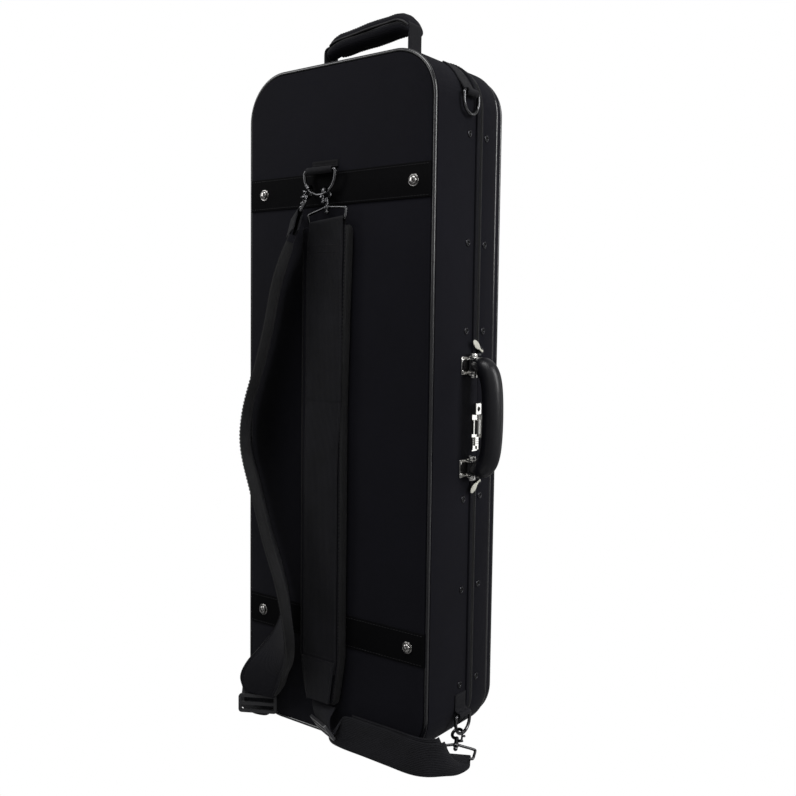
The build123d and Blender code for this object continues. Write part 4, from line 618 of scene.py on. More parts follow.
def cloth_material(name, color, pitch=0.0011, rough=0.82, sheen=0.03, depth=0.00022):
    """Woven case cloth: fine weave, faint pile and slow unevenness in colour."""
    material, tree, shader = node_material(name)
    place = place_socket(tree)
    fine = noise(tree, place, 900.0, 2.0)
    tint(tree, shader, noise(tree, place, 9.0, 4.0), color, (0.3, 0.86), (0.72, 1.18))
    roughen(tree, shader, fine, rough - 0.08, min(1.0, rough + 0.1))
    finish(shader, {"Sheen Weight": sheen, "Sheen Roughness": 0.5, "Specular IOR Level": 0.14})
    under = bump(tree, shader, noise(tree, place, 55.0, 2.0), 0.0006, 0.35)
    threads = maths(tree, "ADD", weave(tree, place, pitch), maths(tree, "MULTIPLY", fine, 0.5))
    bump(tree, shader, threads, depth, 0.8, under)
    return material


def vinyl_material(name, color, rough, grain=1500.0, depth=0.00012, coat=0.0, shine=0.5):
    """Grained vinyl or leather with soft creases."""
    material, tree, shader = node_material(name)
    place = place_socket(tree)
    tint(tree, shader, noise(tree, place, 22.0, 3.0), color, (0.3, 0.85), (0.75, 1.2))
    roughen(tree, shader, noise(tree, place, 240.0, 3.0), rough - 0.08, rough + 0.12)
    finish(shader, {"Specular IOR Level": shine, "Coat Weight": coat, "Coat Roughness": 0.18})
    under = bump(tree, shader, noise(tree, place, 90.0, 4.0), 0.0004, 0.3)
    bump(tree, shader, cells(tree, place, grain), depth, 0.6, under)
    return material


def webbing_material(name, color, across=0.0019, along=0.0013, rough=0.72):
    """Woven webbing with cords along the strip; its colour is darkened in the grooves between the cords as painted
    shade.
    """
    material, tree, shader = node_material(name)
    height = ribs(tree, place_socket(tree, uv=True), across, along)
    slow = noise(tree, place_socket(tree), 30.0, 3.0)
    # Colour from uneven tone plus the cords' height: the darker grooves are painted shade
    tone_with_painted_shade = maths(tree, "ADD", maths(tree, "MULTIPLY", slow, 0.8), maths(tree, "MULTIPLY", height, 0.12))
    tint(tree, shader, tone_with_painted_shade, color, (0.25, 0.7), (0.62, 1.35))
    finish(shader, {"Roughness": rough, "Sheen Weight": 0.05, "Sheen Roughness": 0.4,
                    "Specular IOR Level": 0.25})
    bump(tree, shader, height, 0.00035, 0.9)
    return material


def metal_material(name, color, rough, wear=0.08):
    """Plated metal with faint smears and fine scratches."""
    material, tree, shader = node_material(name)
    place = place_socket(tree)
    slow = noise(tree, place, 120.0, 4.0)
    finish(shader, {"Metallic": 1.0})
    tint(tree, shader, slow, color, (0.25, 0.85), (0.7, 1.08))
    roughen(tree, shader, noise(tree, place, 600.0, 3.0), rough, rough + wear)
    bump(tree, shader, slow, 0.00008, 0.25)
    return material


def plastic_material(name, color, rough=0.45, depth=0.00006):
    """Moulded plastic with a fine eroded texture."""
    material, tree, shader = node_material(name)
    place = place_socket(tree)
    tint(tree, shader, noise(tree, place, 60.0, 3.0), color, (0.3, 0.9), (0.7, 1.1))
    roughen(tree, shader, noise(tree, place, 1500.0, 2.0), rough - 0.06, rough + 0.1)
    bump(tree, shader, noise(tree, place, 2600.0, 2.0), depth, 0.5)
    return material


def plush_material(name, color, pile=620.0, rough=0.95, sheen=0.6):
    """Short-pile plush: brushed patches over a fine pile, whose heights also lighten and darken its colour as
    painted sheen and shade.
    """
    material, tree, shader = node_material(name)
    place = place_socket(tree)
    brushed = noise(tree, place, 14.0, 5.0, 0.65)
    pile_height = noise(tree, place, pile, 3.0, 0.7)
    pile_shade = maths(tree, "MULTIPLY", pile_height, 0.3)
    # Painted sheen and shade: the brushed patches and the pile's height lighten and darken the colour
    tone_with_painted_shade = maths(tree, "ADD", maths(tree, "MULTIPLY", brushed, 0.75), pile_shade)
    tint(tree, shader, tone_with_painted_shade, color, (0.32, 0.62), (0.72, 1.5))
    finish(shader, {"Roughness": rough, "Sheen Weight": sheen, "Sheen Roughness": 0.35,
                    "Specular IOR Level": 0.15})
    under = bump(tree, shader, brushed, 0.0012, 0.4)
    bump(tree, shader, pile_height, 0.0005, 0.9, under)
    return material


BLACK = (0.0050, 0.0049, 0.0086)
CLOTH = cloth_material("case_cloth", BLACK)
BAND = vinyl_material("band_vinyl", (0.0030, 0.0030, 0.0036), 0.62, shine=0.05)
FLAP = vinyl_material("flap_vinyl", (0.0055, 0.0055, 0.0085), 0.6, shine=0.14)
PIPE = vinyl_material("piping_vinyl", (0.006, 0.006, 0.008), 0.2, 2400.0, 0.00003, 0.6, shine=0.7)
POCKET_CLOTH = cloth_material("pocket_cloth", shade(BLACK, 1.1), 0.0012)
LEATHER = vinyl_material("handle_leather", (0.0060, 0.0060, 0.0085), 0.34, 1500.0, 0.00014, 0.14, shine=0.4)
WEBBING = webbing_material("webbing", (0.0066, 0.0066, 0.0094))
PAD_CLOTH = cloth_material("pad_cloth", (0.0066, 0.0065, 0.0096), 0.0016, 0.86, 0.04, 0.0003)
BINDING = webbing_material("binding", (0.009, 0.009, 0.010), 0.0012, 0.0011, 0.6)
LEAF_EDGE = webbing_material("leaf_edge", (0.03, 0.03, 0.032), 0.0012, 0.0011, 0.45)
THREAD = cloth_material("thread", (0.016, 0.016, 0.018), 0.0005, 0.55, 0.08, 0.0001)
TAPE = webbing_material("zip_tape", (0.006, 0.006, 0.0068), 0.0009, 0.0009, 0.8)
CHROME = metal_material("bright_plate", (0.86, 0.85, 0.82), 0.1)
GUNMETAL = metal_material("dark_steel", (0.10, 0.10, 0.105), 0.24)
RING_METAL = metal_material("ring_metal", (0.13, 0.13, 0.135), 0.17)
STUD_METAL = metal_material("stud_metal", (0.42, 0.41, 0.40), 0.1)
RIVET_METAL = metal_material("rivet_metal", (0.045, 0.045, 0.05), 0.22)
PULL = plastic_material("pull_plastic", (0.74, 0.73, 0.64), 0.35)
ADJUSTER = plastic_material("adjuster_plastic", (0.035, 0.035, 0.038), 0.3)
RIBBON = webbing_material("stay_ribbon", (0.016, 0.016, 0.018), 0.0009, 0.0008, 0.5)
HARD = plastic_material("hard_plastic", (0.012, 0.012, 0.013), 0.38)
TOOTH = plastic_material("zip_teeth", (0.013, 0.013, 0.014), 0.3)
PLUSH = plush_material("plush", (0.030, 0.034, 0.052))
LINING = plush_material("lining", (0.026, 0.030, 0.045), 900.0, 0.95, 0.45)
# Painted shade: a near-black material for the discs and plates laid in holes and recesses, where there is only
# shade
HOLE_SHADE = plastic_material("painted_hole_shade", (0.002, 0.002, 0.002), 0.8)

NODE_LOOKS = {
    "case_cloth": CLOTH, "band_vinyl": BAND, "piping_vinyl": PIPE, "zip_tape": TAPE, "webbing": WEBBING,
    "strap_pad": PAD_CLOTH, "handle_leather": LEATHER, "bright_plate": CHROME, "dark_steel": GUNMETAL,
    "pull_plastic": PULL, "hard_plastic": HARD, "plush": PLUSH, "lining": LINING, "ribbon": BINDING,
}


def dress(node, material):
    """Gives one CAD node a material."""
    materials = frame["nodes"][node].data.materials
    materials.clear()
    materials.append(material)


def dress_nodes():
    """Gives every CAD node the material of its slot, and the adjusters their own."""
    for row in frame["record"]["subparts"]:
        dress(row["node"], NODE_LOOKS[row["material_slot"]])
    dress("strap_adjusters", ADJUSTER)


# Case, lid and pocket

# The zip's edge is drawn in by SUNK at the bottom end, so that the case stands on its shell
SUNK = 3.4
FLAP_LOW_Y = SEAM_Y - 14.5
TAPE_OUT = 0.7
FLAP_OUT = 2.4
TOOTH_PITCH = 2.1
# Each zip run starts ZIP_START from the handle's middle; its points are sorted by their angle at ZIP_PIVOT
ZIP_START = 71.0
ZIP_PIVOT = 60.0
HINGE_SIDE_END = 100.0
HANDLE_Z = 398.0
BAND_HEIGHTS = (663.0, 136.0)
BACK_FACE_Y = BACK_Y - 1.5
STUD_X = 115.0
RIVET_HEIGHTS = (78, 193, 301, 498, 599, 722)


def case_tray():
    """The deep tray under its cloth, with the step for the piping and the lip that locates the lid."""
    step = PIPING_STEP
    levels = ((6, BACK_Y + 6), (6, SEAM_Y - 8), (8.5, SEAM_Y - 8), (8.5, SEAM_Y + 4.6), (8.1, SEAM_Y + 5),
              (6.4, SEAM_Y + 5), (6, SEAM_Y + 4.6), (6, SEAM_Y), (0.7, SEAM_Y, SUNK), (0.2, SEAM_Y - 0.2, SUNK),
              (0, SEAM_Y - 0.7, SUNK), (0, FLAP_LOW_Y, SUNK), (0, FLAP_LOW_Y), (0, BACK_Y + step + 0.7),
              (0.2, BACK_Y + step + 0.2), (0.7, BACK_Y + step), (step, BACK_Y + step), (step, BACK_Y + 0.8),
              (step + 0.3, BACK_Y + 0.2), (step + 1.0, BACK_Y))
    shell(Shape(), levels).make("case_tray_cloth", CLOTH, "case", replaces=("body_shell",), slot="case_cloth")


def lid_tray():
    """The shallow lid under its cloth, stepped for its piping."""
    step = PIPING_STEP
    levels = ((5, LID_Y - 5), (5, SEAM_Y + 0.3), (0.7, SEAM_Y + 0.3), (0.2, SEAM_Y + 0.5), (0, SEAM_Y + 1.0),
              (0, LID_Y - step - 0.7), (0.2, LID_Y - step - 0.2), (0.7, LID_Y - step), (step, LID_Y - step),
              (step, LID_Y - 0.8), (step + 0.3, LID_Y - 0.2), (step + 1.0, LID_Y))
    shell(Shape(), levels).make("lid_tray_cloth", CLOTH, "lid", replaces=("lid_shell",), slot="case_cloth")


def pipings():
    """The rounds of piping on the back edge, the lid's edge and the pocket's edge."""
    edge_ring(Shape(), PIPING, BACK_Y + PIPING, PIPING, 14, arc_steps=24).make(
        "back_edge_piping", PIPE, "case", replaces=("back_piping",), slot="piping_vinyl")
    shape = edge_ring(Shape(), PIPING, LID_Y - PIPING, PIPING, 14, arc_steps=24)
    edge_ring(shape, POCKET_INSET + PIPING, POCKET_Y - PIPING, PIPING, 14, arc_steps=24)
    shape.make("lid_edge_pipings", PIPE, "lid", replaces=("lid_pipings",), slot="piping_vinyl")


def pocket_front_y(inset, x, z):
    """The depth of the pocket's soft front at a place."""
    rise = min(1.0, max(0.0, (inset - 8.0) / 46.0))
    puff = 2.4 * math.sin(rise * math.pi / 2)
    waves = (0.30 * math.sin(x * 0.031 + z * 0.017) + 0.22 * math.sin(z * 0.043 - x * 0.022 + 1.1)
             + 0.12 * math.sin(x * 0.09 + 2.0) * math.sin(z * 0.061))
    return POCKET_Y + puff + waves * rise


def music_pocket():
    """The soft pocket on the lid: its gusset, and a front that swells and waves a little."""
    step = PIPING_STEP
    edge = POCKET_INSET + step
    levels = [(POCKET_INSET + 1.2, LID_Y + 0.1), (POCKET_INSET, LID_Y + 0.9),
              (POCKET_INSET, POCKET_Y - step - 0.5), (POCKET_INSET + 0.5, POCKET_Y - step),
              (edge, POCKET_Y - step), (edge, POCKET_Y - 0.5), (edge + 0.5, POCKET_Y)]
    shape = Shape()
    verts = []
    around = len(outline(0))
    for inset, y in levels:
        verts.extend(Vector((x, y, z)) for x, z in outline(inset))
    insets = [10, 13, 17, 22, 28, 35, 43, 52, 62, 74, 88, 104, 120, 134]
    for inset in insets:
        verts.extend(Vector((x, pocket_front_y(inset, x, z), z)) for x, z in outline(inset))
    rings = len(levels) + len(insets)
    shape.add(verts, rings_to_faces(rings, around, False, True))
    piece = shape.make("music_pocket_cloth", POCKET_CLOTH, "lid", replaces=("music_pocket",), slot="case_cloth")
    seams = Shape()
    for inset in (15.0, 17.5):
        ring = outline(inset)
        points = [Vector((x, pocket_front_y(inset, x, z), z)) for x, z in ring]
        stitch_row(seams, points + points[:1], [(0, 1, 0)] * len(points))
    seams.make("pocket_stitches", THREAD, "lid", slot="case_cloth")


def run_points(out, upper):
    """The path (x, z) of one zip run along the outline, from the handle round an end to the hinges."""
    sign = 1 if upper else -1
    start = HANDLE_Z + sign * ZIP_START
    stop = LENGTH - HINGE_SIDE_END if upper else HINGE_SIDE_END
    edge = HALF_WIDTH + out
    path = []
    for x, z in outline(-out, SUNK, arc_steps=20, step=6.0):
        limit = start if x > 0 else stop
        if sign * (z - limit) > 0:
            path.append((x, z))
    path.sort(key=lambda p: sign * math.atan2(p[1] - (HANDLE_Z + sign * ZIP_PIVOT), p[0]))
    return [(edge, start)] + path + [(-edge, stop)]


def run_section(shape, upper, section):
    """A form along one zip run, with a section of (out, y) points."""
    paths = [run_points(out, upper) for out, _ in section]
    count = min(len(path) for path in paths)
    verts = []
    strip = []
    along = 0.0
    for i in range(count):
        if i:
            along += (Vector(paths[0][i]) - Vector(paths[0][i - 1])).length
        for (out, y), path in zip(section, paths):
            x, z = path[i]
            verts.append(Vector((x, y, z)))
            strip.append((y * MM, along * MM))
    return shape.add(verts, rings_to_faces(count, len(section), False, True), strip)


def tooth_row(shape, upper):
    """The zip's teeth along one run."""
    run = [Vector((x, 0, z)) for x, z in run_points(TAPE_OUT, upper)]
    distance = 0.0
    for a, b in zip(run, run[1:]):
        span = (b - a).length
        way = (b - a) / span
        out = way.cross(Vector((0, 1, 0))) * (-1 if upper else 1)
        while distance < span:
            spot = a + way * distance + Vector((0, SEAM_Y - 1.55, 0)) + out * 0.1
            bevelled_box(shape, place_at(spot, out, way), (1.25, 2.5, 0.9), 0.25, 1)
            distance += TOOTH_PITCH
        distance -= span


def flap_seam(shape, upper):
    """The stitches along one run of the flap."""
    points = [Vector((x, FLAP_LOW_Y + 1.9, z)) for x, z in run_points(FLAP_OUT, upper)]
    side = 1 if upper else -1
    stitch_row(shape, points, [Vector((way.z, 0, -way.x)) * side for way in tangents(points, False)])


def zip_and_flap():
    """The zip's tape and teeth on the body's edge, and the bound flap beside it."""
    tape_section = ((0.05, SEAM_Y - 7.1), (0.55, SEAM_Y - 7.1), (TAPE_OUT, SEAM_Y - 6.6),
                    (TAPE_OUT, SEAM_Y - 0.9), (0.55, SEAM_Y - 0.4), (0.05, SEAM_Y - 0.4))
    low = FLAP_LOW_Y
    flap_section = ((0.05, low), (1.5, low), (2.2, low + 0.5), (FLAP_OUT, low + 1.4), (FLAP_OUT, low + 5.0),
                    (2.2, low + 6.3), (1.5, low + 7.0), (0.05, low + 7.0))
    tape = Shape()
    teeth = Shape()
    flap = Shape()
    seam = Shape()
    for upper in (True, False):
        run_section(tape, upper, tape_section)
        run_section(flap, upper, flap_section)
        flap_seam(seam, upper)
        tooth_row(teeth, upper)
    tape.make("zip_tape", TAPE, "case", replaces=("zip_chain",), slot="zip_tape")
    teeth.make("zip_teeth", TOOTH, "case", slot="zip_tape")
    flap.make("zip_flap_binding", FLAP, "case", replaces=("zip_flaps",), slot="band_vinyl")
    seam.make("zip_flap_stitches", THREAD, "case", slot="band_vinyl")


def pocket_zip():
    """The zip of the music pocket along its top gusset."""
    top = LENGTH - POCKET_INSET
    y = LID_Y + (POCKET_Y - LID_Y) / 3
    tape = Shape()
    bevelled_box(tape, place_at((-5, y, top + 0.12), (0, 0, 1), (1, 0, 0)), (170, 8.5, 0.5), 0.2, 1)
    tape.make("pocket_zip_tape", TAPE, "lid", slot="zip_tape")
    teeth = Shape()
    for index in range(78):
        spot = (-86 + index * TOOTH_PITCH, y, top + 0.3)
        bevelled_box(teeth, place_at(spot, (0, 0, 1), (1, 0, 0)), (1.2, 2.6, 0.5), 0.2, 1)
    teeth.make("pocket_zip_teeth", TOOTH, "lid", slot="zip_tape")


def bands():
    """The two bands sewn across the back."""
    half = HALF_WIDTH - PIPING_STEP
    shape = Shape()
    seam = Shape()
    for centre_z in BAND_HEIGHTS:
        section = []
        for y, z in ((0, -19.5), (-1.0, -19.5), (-1.4, -19.2), (-1.5, -18.6), (-1.5, 18.6), (-1.4, 19.2),
                     (-1.0, 19.5), (0, 19.5)):
            section.append((BACK_Y + y, centre_z + z))
        verts = []
        strip = []
        for x in (-half, -half + 0.4, 0, half - 0.4, half):
            sunk = 0.35 if abs(x) == half else 0.0
            verts.extend(Vector((x, y + (sunk if y < BACK_Y else 0), z)) for y, z in section)
            strip.extend((z * MM, x * MM) for y, z in section)
        shape.add(verts, rings_to_faces(5, len(section), False, True), strip)
        for rise in (-17.0, 17.0):
            across = range(int(-half) + 2, int(half) - 1, 5)
            points = [Vector((x, BACK_FACE_Y, centre_z + rise)) for x in across]
            stitch_row(seam, points, [(0, -1, 0)] * len(points))
    shape.make("band_covers", BAND, "case", replaces=("back_bands",), slot="band_vinyl")
    seam.make("band_stitches", THREAD, "case", slot="band_vinyl")


# Turned forms as (radius, height)
STUD_PROFILE = ((7.0, 0.0), (7.0, 0.5), (6.75, 0.85), (6.2, 1.0), (5.7, 0.95), (5.45, 0.8), (5.35, 1.0),
                (5.3, 1.9), (5.0, 2.8), (4.4, 3.5), (3.4, 4.05), (2.2, 4.35), (1.0, 4.48), (0.05, 4.5))
RIVET_PROFILE = ((4.5, 0.0), (4.5, 0.35), (4.3, 0.8), (3.8, 1.1), (3.2, 1.2), (2.6, 1.12), (2.2, 0.85),
                 (1.95, 0.4), (1.9, 0.15), (0.05, 0.1))


def studs_and_rivets():
    """Domed studs on the bands, and cup rivets along both long sides, with a dark disc in each cup's hole as
    painted shade.
    """
    studs = Shape()
    for x in (-STUD_X, STUD_X):
        for z in BAND_HEIGHTS:
            lathe(studs, STUD_PROFILE, place_at((x, BACK_FACE_Y, z), (0, -1, 0)), 36)
    studs.make("stud_domes", STUD_METAL, "case", replaces=("back_studs",), slot="bright_plate")
    for body, y, node in (("case", 2.5, "body_rivets"), ("lid", 38.5, "lid_rivets")):
        cups = Shape()
        hole_shade = Shape()
        for side in (-1, 1):
            for z in RIVET_HEIGHTS:
                place = place_at((side * HALF_WIDTH, y, z), (side, 0, 0))
                lathe(cups, RIVET_PROFILE, place, 28)
                # Painted shade: a dark disc at the bottom of the cup's shallow hole
                lathe(hole_shade, ((1.85, 0.14), (1.8, 0.2), (0.9, 0.24), (0.05, 0.25)), place, 20)
        cups.make(body + "_rivet_cups", RIVET_METAL, body, replaces=(node,), slot="bright_plate")
        hole_shade.make(body + "_rivet_hole_shade", HOLE_SHADE, body, slot="hard_plastic")


# Handle and rings

PIN_X = 149.6
PIN_REACH = 60
GRIP_X = 176.6
GRIP_Y = 8.0
PLATE_Y = 5.0

# Each ring by its bar's middle, its half width and its depth
BACK_RING = ((-15, BACK_FACE_Y - 9, 684), 24, 28.5)
UPPER_RING = ((147.5, -3, 766), 15, 24)
LOWER_RING = ((147.5, 3, 44), 15, 24)
LOWER_LEFT_RING = ((-147.5, 3, 44), 15, 24)


def carry_grip():
    """The leather grip, thick in the middle and flat at its eyes, with a welt along its inner side."""
    bend = ((PIN_X, PIN_REACH), (PIN_X + 6, PIN_REACH), (163.5, 58.5), (170.6, 52), (174.6, 40.5), (GRIP_X, 23))
    controls = [(x, 0, HANDLE_Z - z) for x, z in bend] + [(GRIP_X + 0.6, 0, HANDLE_Z)]
    controls += [(x, 0, HANDLE_Z + z) for x, z in bend[::-1]]
    points = [(x, GRIP_Y, z) for x, _, z in curve_points(controls, 7)]
    count = len(points)
    across = []
    tall = []
    for index in range(count):
        t = abs(index / (count - 1) - 0.5) * 2
        full = 1 - max(0.0, (t - 0.62) / 0.38) ** 1.35
        tall.append(5.2 + 6.8 * full)
        across.append(5.2 + 7.2 * full if t < 0.93 else 5.2 + 7.2 * full * (1 - t) / 0.07)
    shape = oval_tube(Shape(), points, across, tall, (0, 1, 0), 32)
    for side in (-1, 1):
        eye = place_at((PIN_X, GRIP_Y, HANDLE_Z + side * PIN_REACH), (0, 0, 1))
        lathe(shape, ((4.6, -7.0), (5.2, -6.4), (5.2, 6.4), (4.6, 7.0)), eye, 24)
    piece = shape.make("leather_grip", LEATHER, "carry_handle", replaces=("carry_handle",),
                       slot="handle_leather")
    welt = Shape()
    seam = Shape()
    inner = points[10:-10]
    ways = tangents([Vector(p) for p in inner], False)
    line = []
    normals = []
    for index, (point, way) in enumerate(zip(inner, ways)):
        normal = Vector((0, 1, 0)).cross(way).normalized()
        if normal.x > 0:
            normal = -normal
        line.append(Vector(point) + normal * (across[10 + index] - 0.1))
        normals.append(normal)
    tube(welt, line, 0.9, 8)
    for shift in (-2.6, 2.6):
        stitch_row(seam, [p + Vector((0, shift, 0)) - n * 0.25 for p, n in zip(line, normals)], normals,
                   pitch=3.6, length=2.4)
    welt.make("grip_welt", LEATHER, "carry_handle", slot="handle_leather")
    seam.make("grip_stitches", THREAD, "carry_handle", slot="handle_leather")


def handle_brackets():
    """The plates with ears, pins and rivets that the handle swings on, with a thin dark plate between each pair of
    ears as painted shade.
    """
    shape = Shape()
    dark = Shape()

    def plate(piece, rise, y, z, size, bevel, segments):
        bevelled_box(piece, place_at((HALF_WIDTH + rise, y, z), (1, 0, 0), (0, 1, 0)), size, bevel, segments)

    for z in (HANDLE_Z - PIN_REACH, HANDLE_Z + PIN_REACH):
        plate(shape, 0.8, PLATE_Y, z, (25, 21, 1.6), 0.5, 3)
        # Painted shade: a thin dark plate on the bracket between its ears, where the recess lies in shade
        plate(dark, 1.62, GRIP_Y, z, (12.5, 13.0, 0.3), 0.1, 1)
        for side in (-1, 1):
            plate(shape, 6.8, GRIP_Y, z + side * 8.7, (13, 2.4, 12.6), 0.9, 3)
            for y in (PLATE_Y - 9.6, PLATE_Y + 9.6):
                place = place_at((HALF_WIDTH + 1.5, y, z + side * 6.6), (1, 0, 0))
                lathe(shape, ((1.7, 0), (1.6, 0.5), (1.1, 0.9), (0.05, 1.0)), place, 16)
            cap = place_at((PIN_X, GRIP_Y, z + side * 9.7), (0, 0, side))
            head = ((4.9, 0), (5.1, 0.4), (5.1, 3.6), (4.8, 4.2), (3.4, 4.4), (3.1, 4.1), (0.05, 4.1))
            lathe(shape, head, cap, 28)
        tube(shape, [(PIN_X, GRIP_Y, z - 9.5), (PIN_X, GRIP_Y, z + 9.5)], 2.2, 18)
    shape.make("handle_brackets", CHROME, "case", replaces=("handle_posts",), slot="bright_plate")
    dark.make("bracket_recess_shade", HOLE_SHADE, "case", slot="hard_plastic")


def d_ring_points(half, depth):
    """The path of a D-ring in its own plane, from the middle of its bar round its bow."""
    leg = depth - half
    corner = 3.0
    points = [(0, 0), (half * 0.5, 0), (half - corner, 0), (half - 0.9, -0.9), (half, -corner), (half, -leg)]
    for step in range(1, 12):
        turn = math.pi * step / 12
        points.append((half * math.cos(turn), -leg - half * math.sin(turn)))
    points += [(-half, -leg), (-half, -corner), (-half + 0.9, -0.9), (-half + corner, 0), (-half * 0.5, 0)]
    return points


def rings():
    """The four D-rings, each a bent and welded wire."""
    shapes = (("back_d_ring", "back_ring", BACK_RING, (1, 0, 0)),
              ("upper_side_d_ring", "upper_side_ring", UPPER_RING, (0, 1, 0)),
              ("lower_right_d_ring", "right_lower_ring", LOWER_RING, (0, 1, 0)),
              ("lower_left_d_ring", "left_lower_ring", LOWER_LEFT_RING, (0, -1, 0)))
    for node, body, (origin, half, depth), along in shapes:
        points = [Vector(origin) + Vector(along) * a + Vector((0, 0, b)) for a, b in d_ring_points(half, depth)]
        ring = tube(Shape(), curve_points(points, 3, closed=True), 2.0, 16, closed=True)
        ring.make(node + "_wire", RING_METAL, body, replaces=(node,), slot="dark_steel")


def webbing_loop(shape, origin, along, out, width, drop, tail):
    """Webbing wrapped round a ring's bar: out points away from the case, and the tail runs up it."""
    origin = Vector(origin)
    out = Vector(out).normalized()
    up = Vector((0, 0, 1))
    r = 3.3
    path = [origin - out * (drop - 0.9) + up * tail]
    path += [origin - out * (drop - 0.9) + up * (tail * 0.6), origin - out * (drop - 0.9) + up * 6.5,
             origin - out * (drop - 2.0) + up * 4.6]
    for degrees in (110, 80, 50, 20, -15, -50, -80, -110, -140):
        turn = math.radians(degrees)
        path.append(origin + out * (r * math.cos(turn)) + up * (r * math.sin(turn)))
    path += [origin - out * (drop - 1.2) - up * 1.4, origin - out * (drop - 0.9) + up * 2.0]
    stations = [(point, along, width, 1.7) for point in path]
    return strip_form(shape, strip_rings(stations, 4))


def ring_tabs():
    """The webbing tabs that hold the rings."""
    tab = webbing_loop(Shape(), (-15, BACK_FACE_Y - 9, 684), (-1, 0, 0), (0, -1, 0), 40, 10.5, 12.5)
    tab.make("back_tab_webbing", WEBBING, "case", replaces=("back_ring_tab",), slot="webbing")
    seams = Shape()
    side = Shape()
    top = LENGTH - CORNER
    reach = 57.95
    arc = []
    for degrees in range(0, 61, 10):
        turn = math.radians(degrees)
        arc.append(Vector((HALF_WIDTH - CORNER + reach * math.cos(turn), -3, top + reach * math.sin(turn))))
    origin = Vector(UPPER_RING[0])
    path = arc[::-1]
    path = [p for p in path if p.z > 776] + [Vector((143.0, -3, 771.5)), Vector((144.2, -3, 769.2))]
    for degrees in (70, 35, 0, -35, -70, -110, -150):
        turn = math.radians(degrees)
        path.append(origin + Vector((3.3 * math.cos(turn), 0, 3.3 * math.sin(turn))))
    strip_form(side, strip_rings([(p, (0, 1, 0), 22, 1.7) for p in path], 4))
    for sign in (-1, 1):
        along = (0, sign, 0)
        webbing_loop(side, (sign * 147.5, 3, 44), along, (sign, 0, 0), 22, 5, 24)
    side.make("side_tab_webbing", WEBBING, "case", replaces=("side_ring_tabs",), slot="webbing")
    for z in (691.0, 694.5):
        stitch_row(seams, [Vector((x, BACK_Y - 2.2, z)) for x in range(-33, 4, 4)], [(0, -1, 0)] * 10)
    for sign in (-1, 1):
        for z in (56.0, 66.0):
            stitch_row(seams, [Vector((sign * (HALF_WIDTH + 1.8), y, z)) for y in range(-6, 13, 3)],
                       [(sign, 0, 0)] * 7)
    seams.make("tab_stitches", THREAD, "case", slot="webbing")


# Hooks

HOOK_EYE = 6.5
HOOK_WIRE = 1.9
HOOK_SHANK = 15.0
LOOP_WIRE = 1.6
LOOP_DROP = 33.35
EYE_PLAY = 2.0
LOOP_LEG = ((0.35, -17.2), (0.93, -20.2), (1.0, -22.4), (0.97, -28), (0.94, -31.8), (0.86, -33.2),
            (0.5, -LOOP_DROP))
BALL_PROFILE = ((0.3, -2.7), (1.3, -2.35), (2.2, -1.5), (2.65, -0.3), (2.5, 0.8), (1.9, 1.8), (1.3, 2.3))
HOOKS = (
    ("right_top", "back_ring", (0.1, -0.05, -0.99), (1, 0, 0), 58.0),
    ("left_top", "back_ring", (-0.18, -0.42, -0.89), (0.75, -0.66, 0), 58.0),
    ("right_lower", "right_lower_ring", (0.38, -0.75, -0.42), (-0.884, -0.468, 0), 46.0),
    ("left_lower", "left_lower_ring", (-0.38, -0.75, -0.42), (0.884, -0.468, 0), 46.0),
)


def hook_frame(name):
    """Where a hook's eye meets its ring, and the direction of the ring's wire there."""
    side = 1 if name.startswith("right") else -1
    if name.endswith("top"):
        origin, half, depth = BACK_RING
        along_ring = Vector((1, 0, 0))
        angle = 26 if side > 0 else -42
    else:
        origin, half, depth = LOWER_RING if side > 0 else LOWER_LEFT_RING
        along_ring = Vector((0, side, 0))
        angle = -45 * side
    turn = math.radians(angle)
    drop = -(depth - half) - half * math.cos(turn)
    point = Vector(origin) + along_ring * (half * math.sin(turn)) + Vector((0, 0, drop))
    return point, along_ring * math.cos(turn) + Vector((0, 0, math.sin(turn)))


def local_tube(shape, place, points, radius, sides=12, **kind):
    """A tube through points given in a placing matrix's own directions."""
    return tube(shape, [place @ Vector(p) for p in points], radius, sides, **kind)


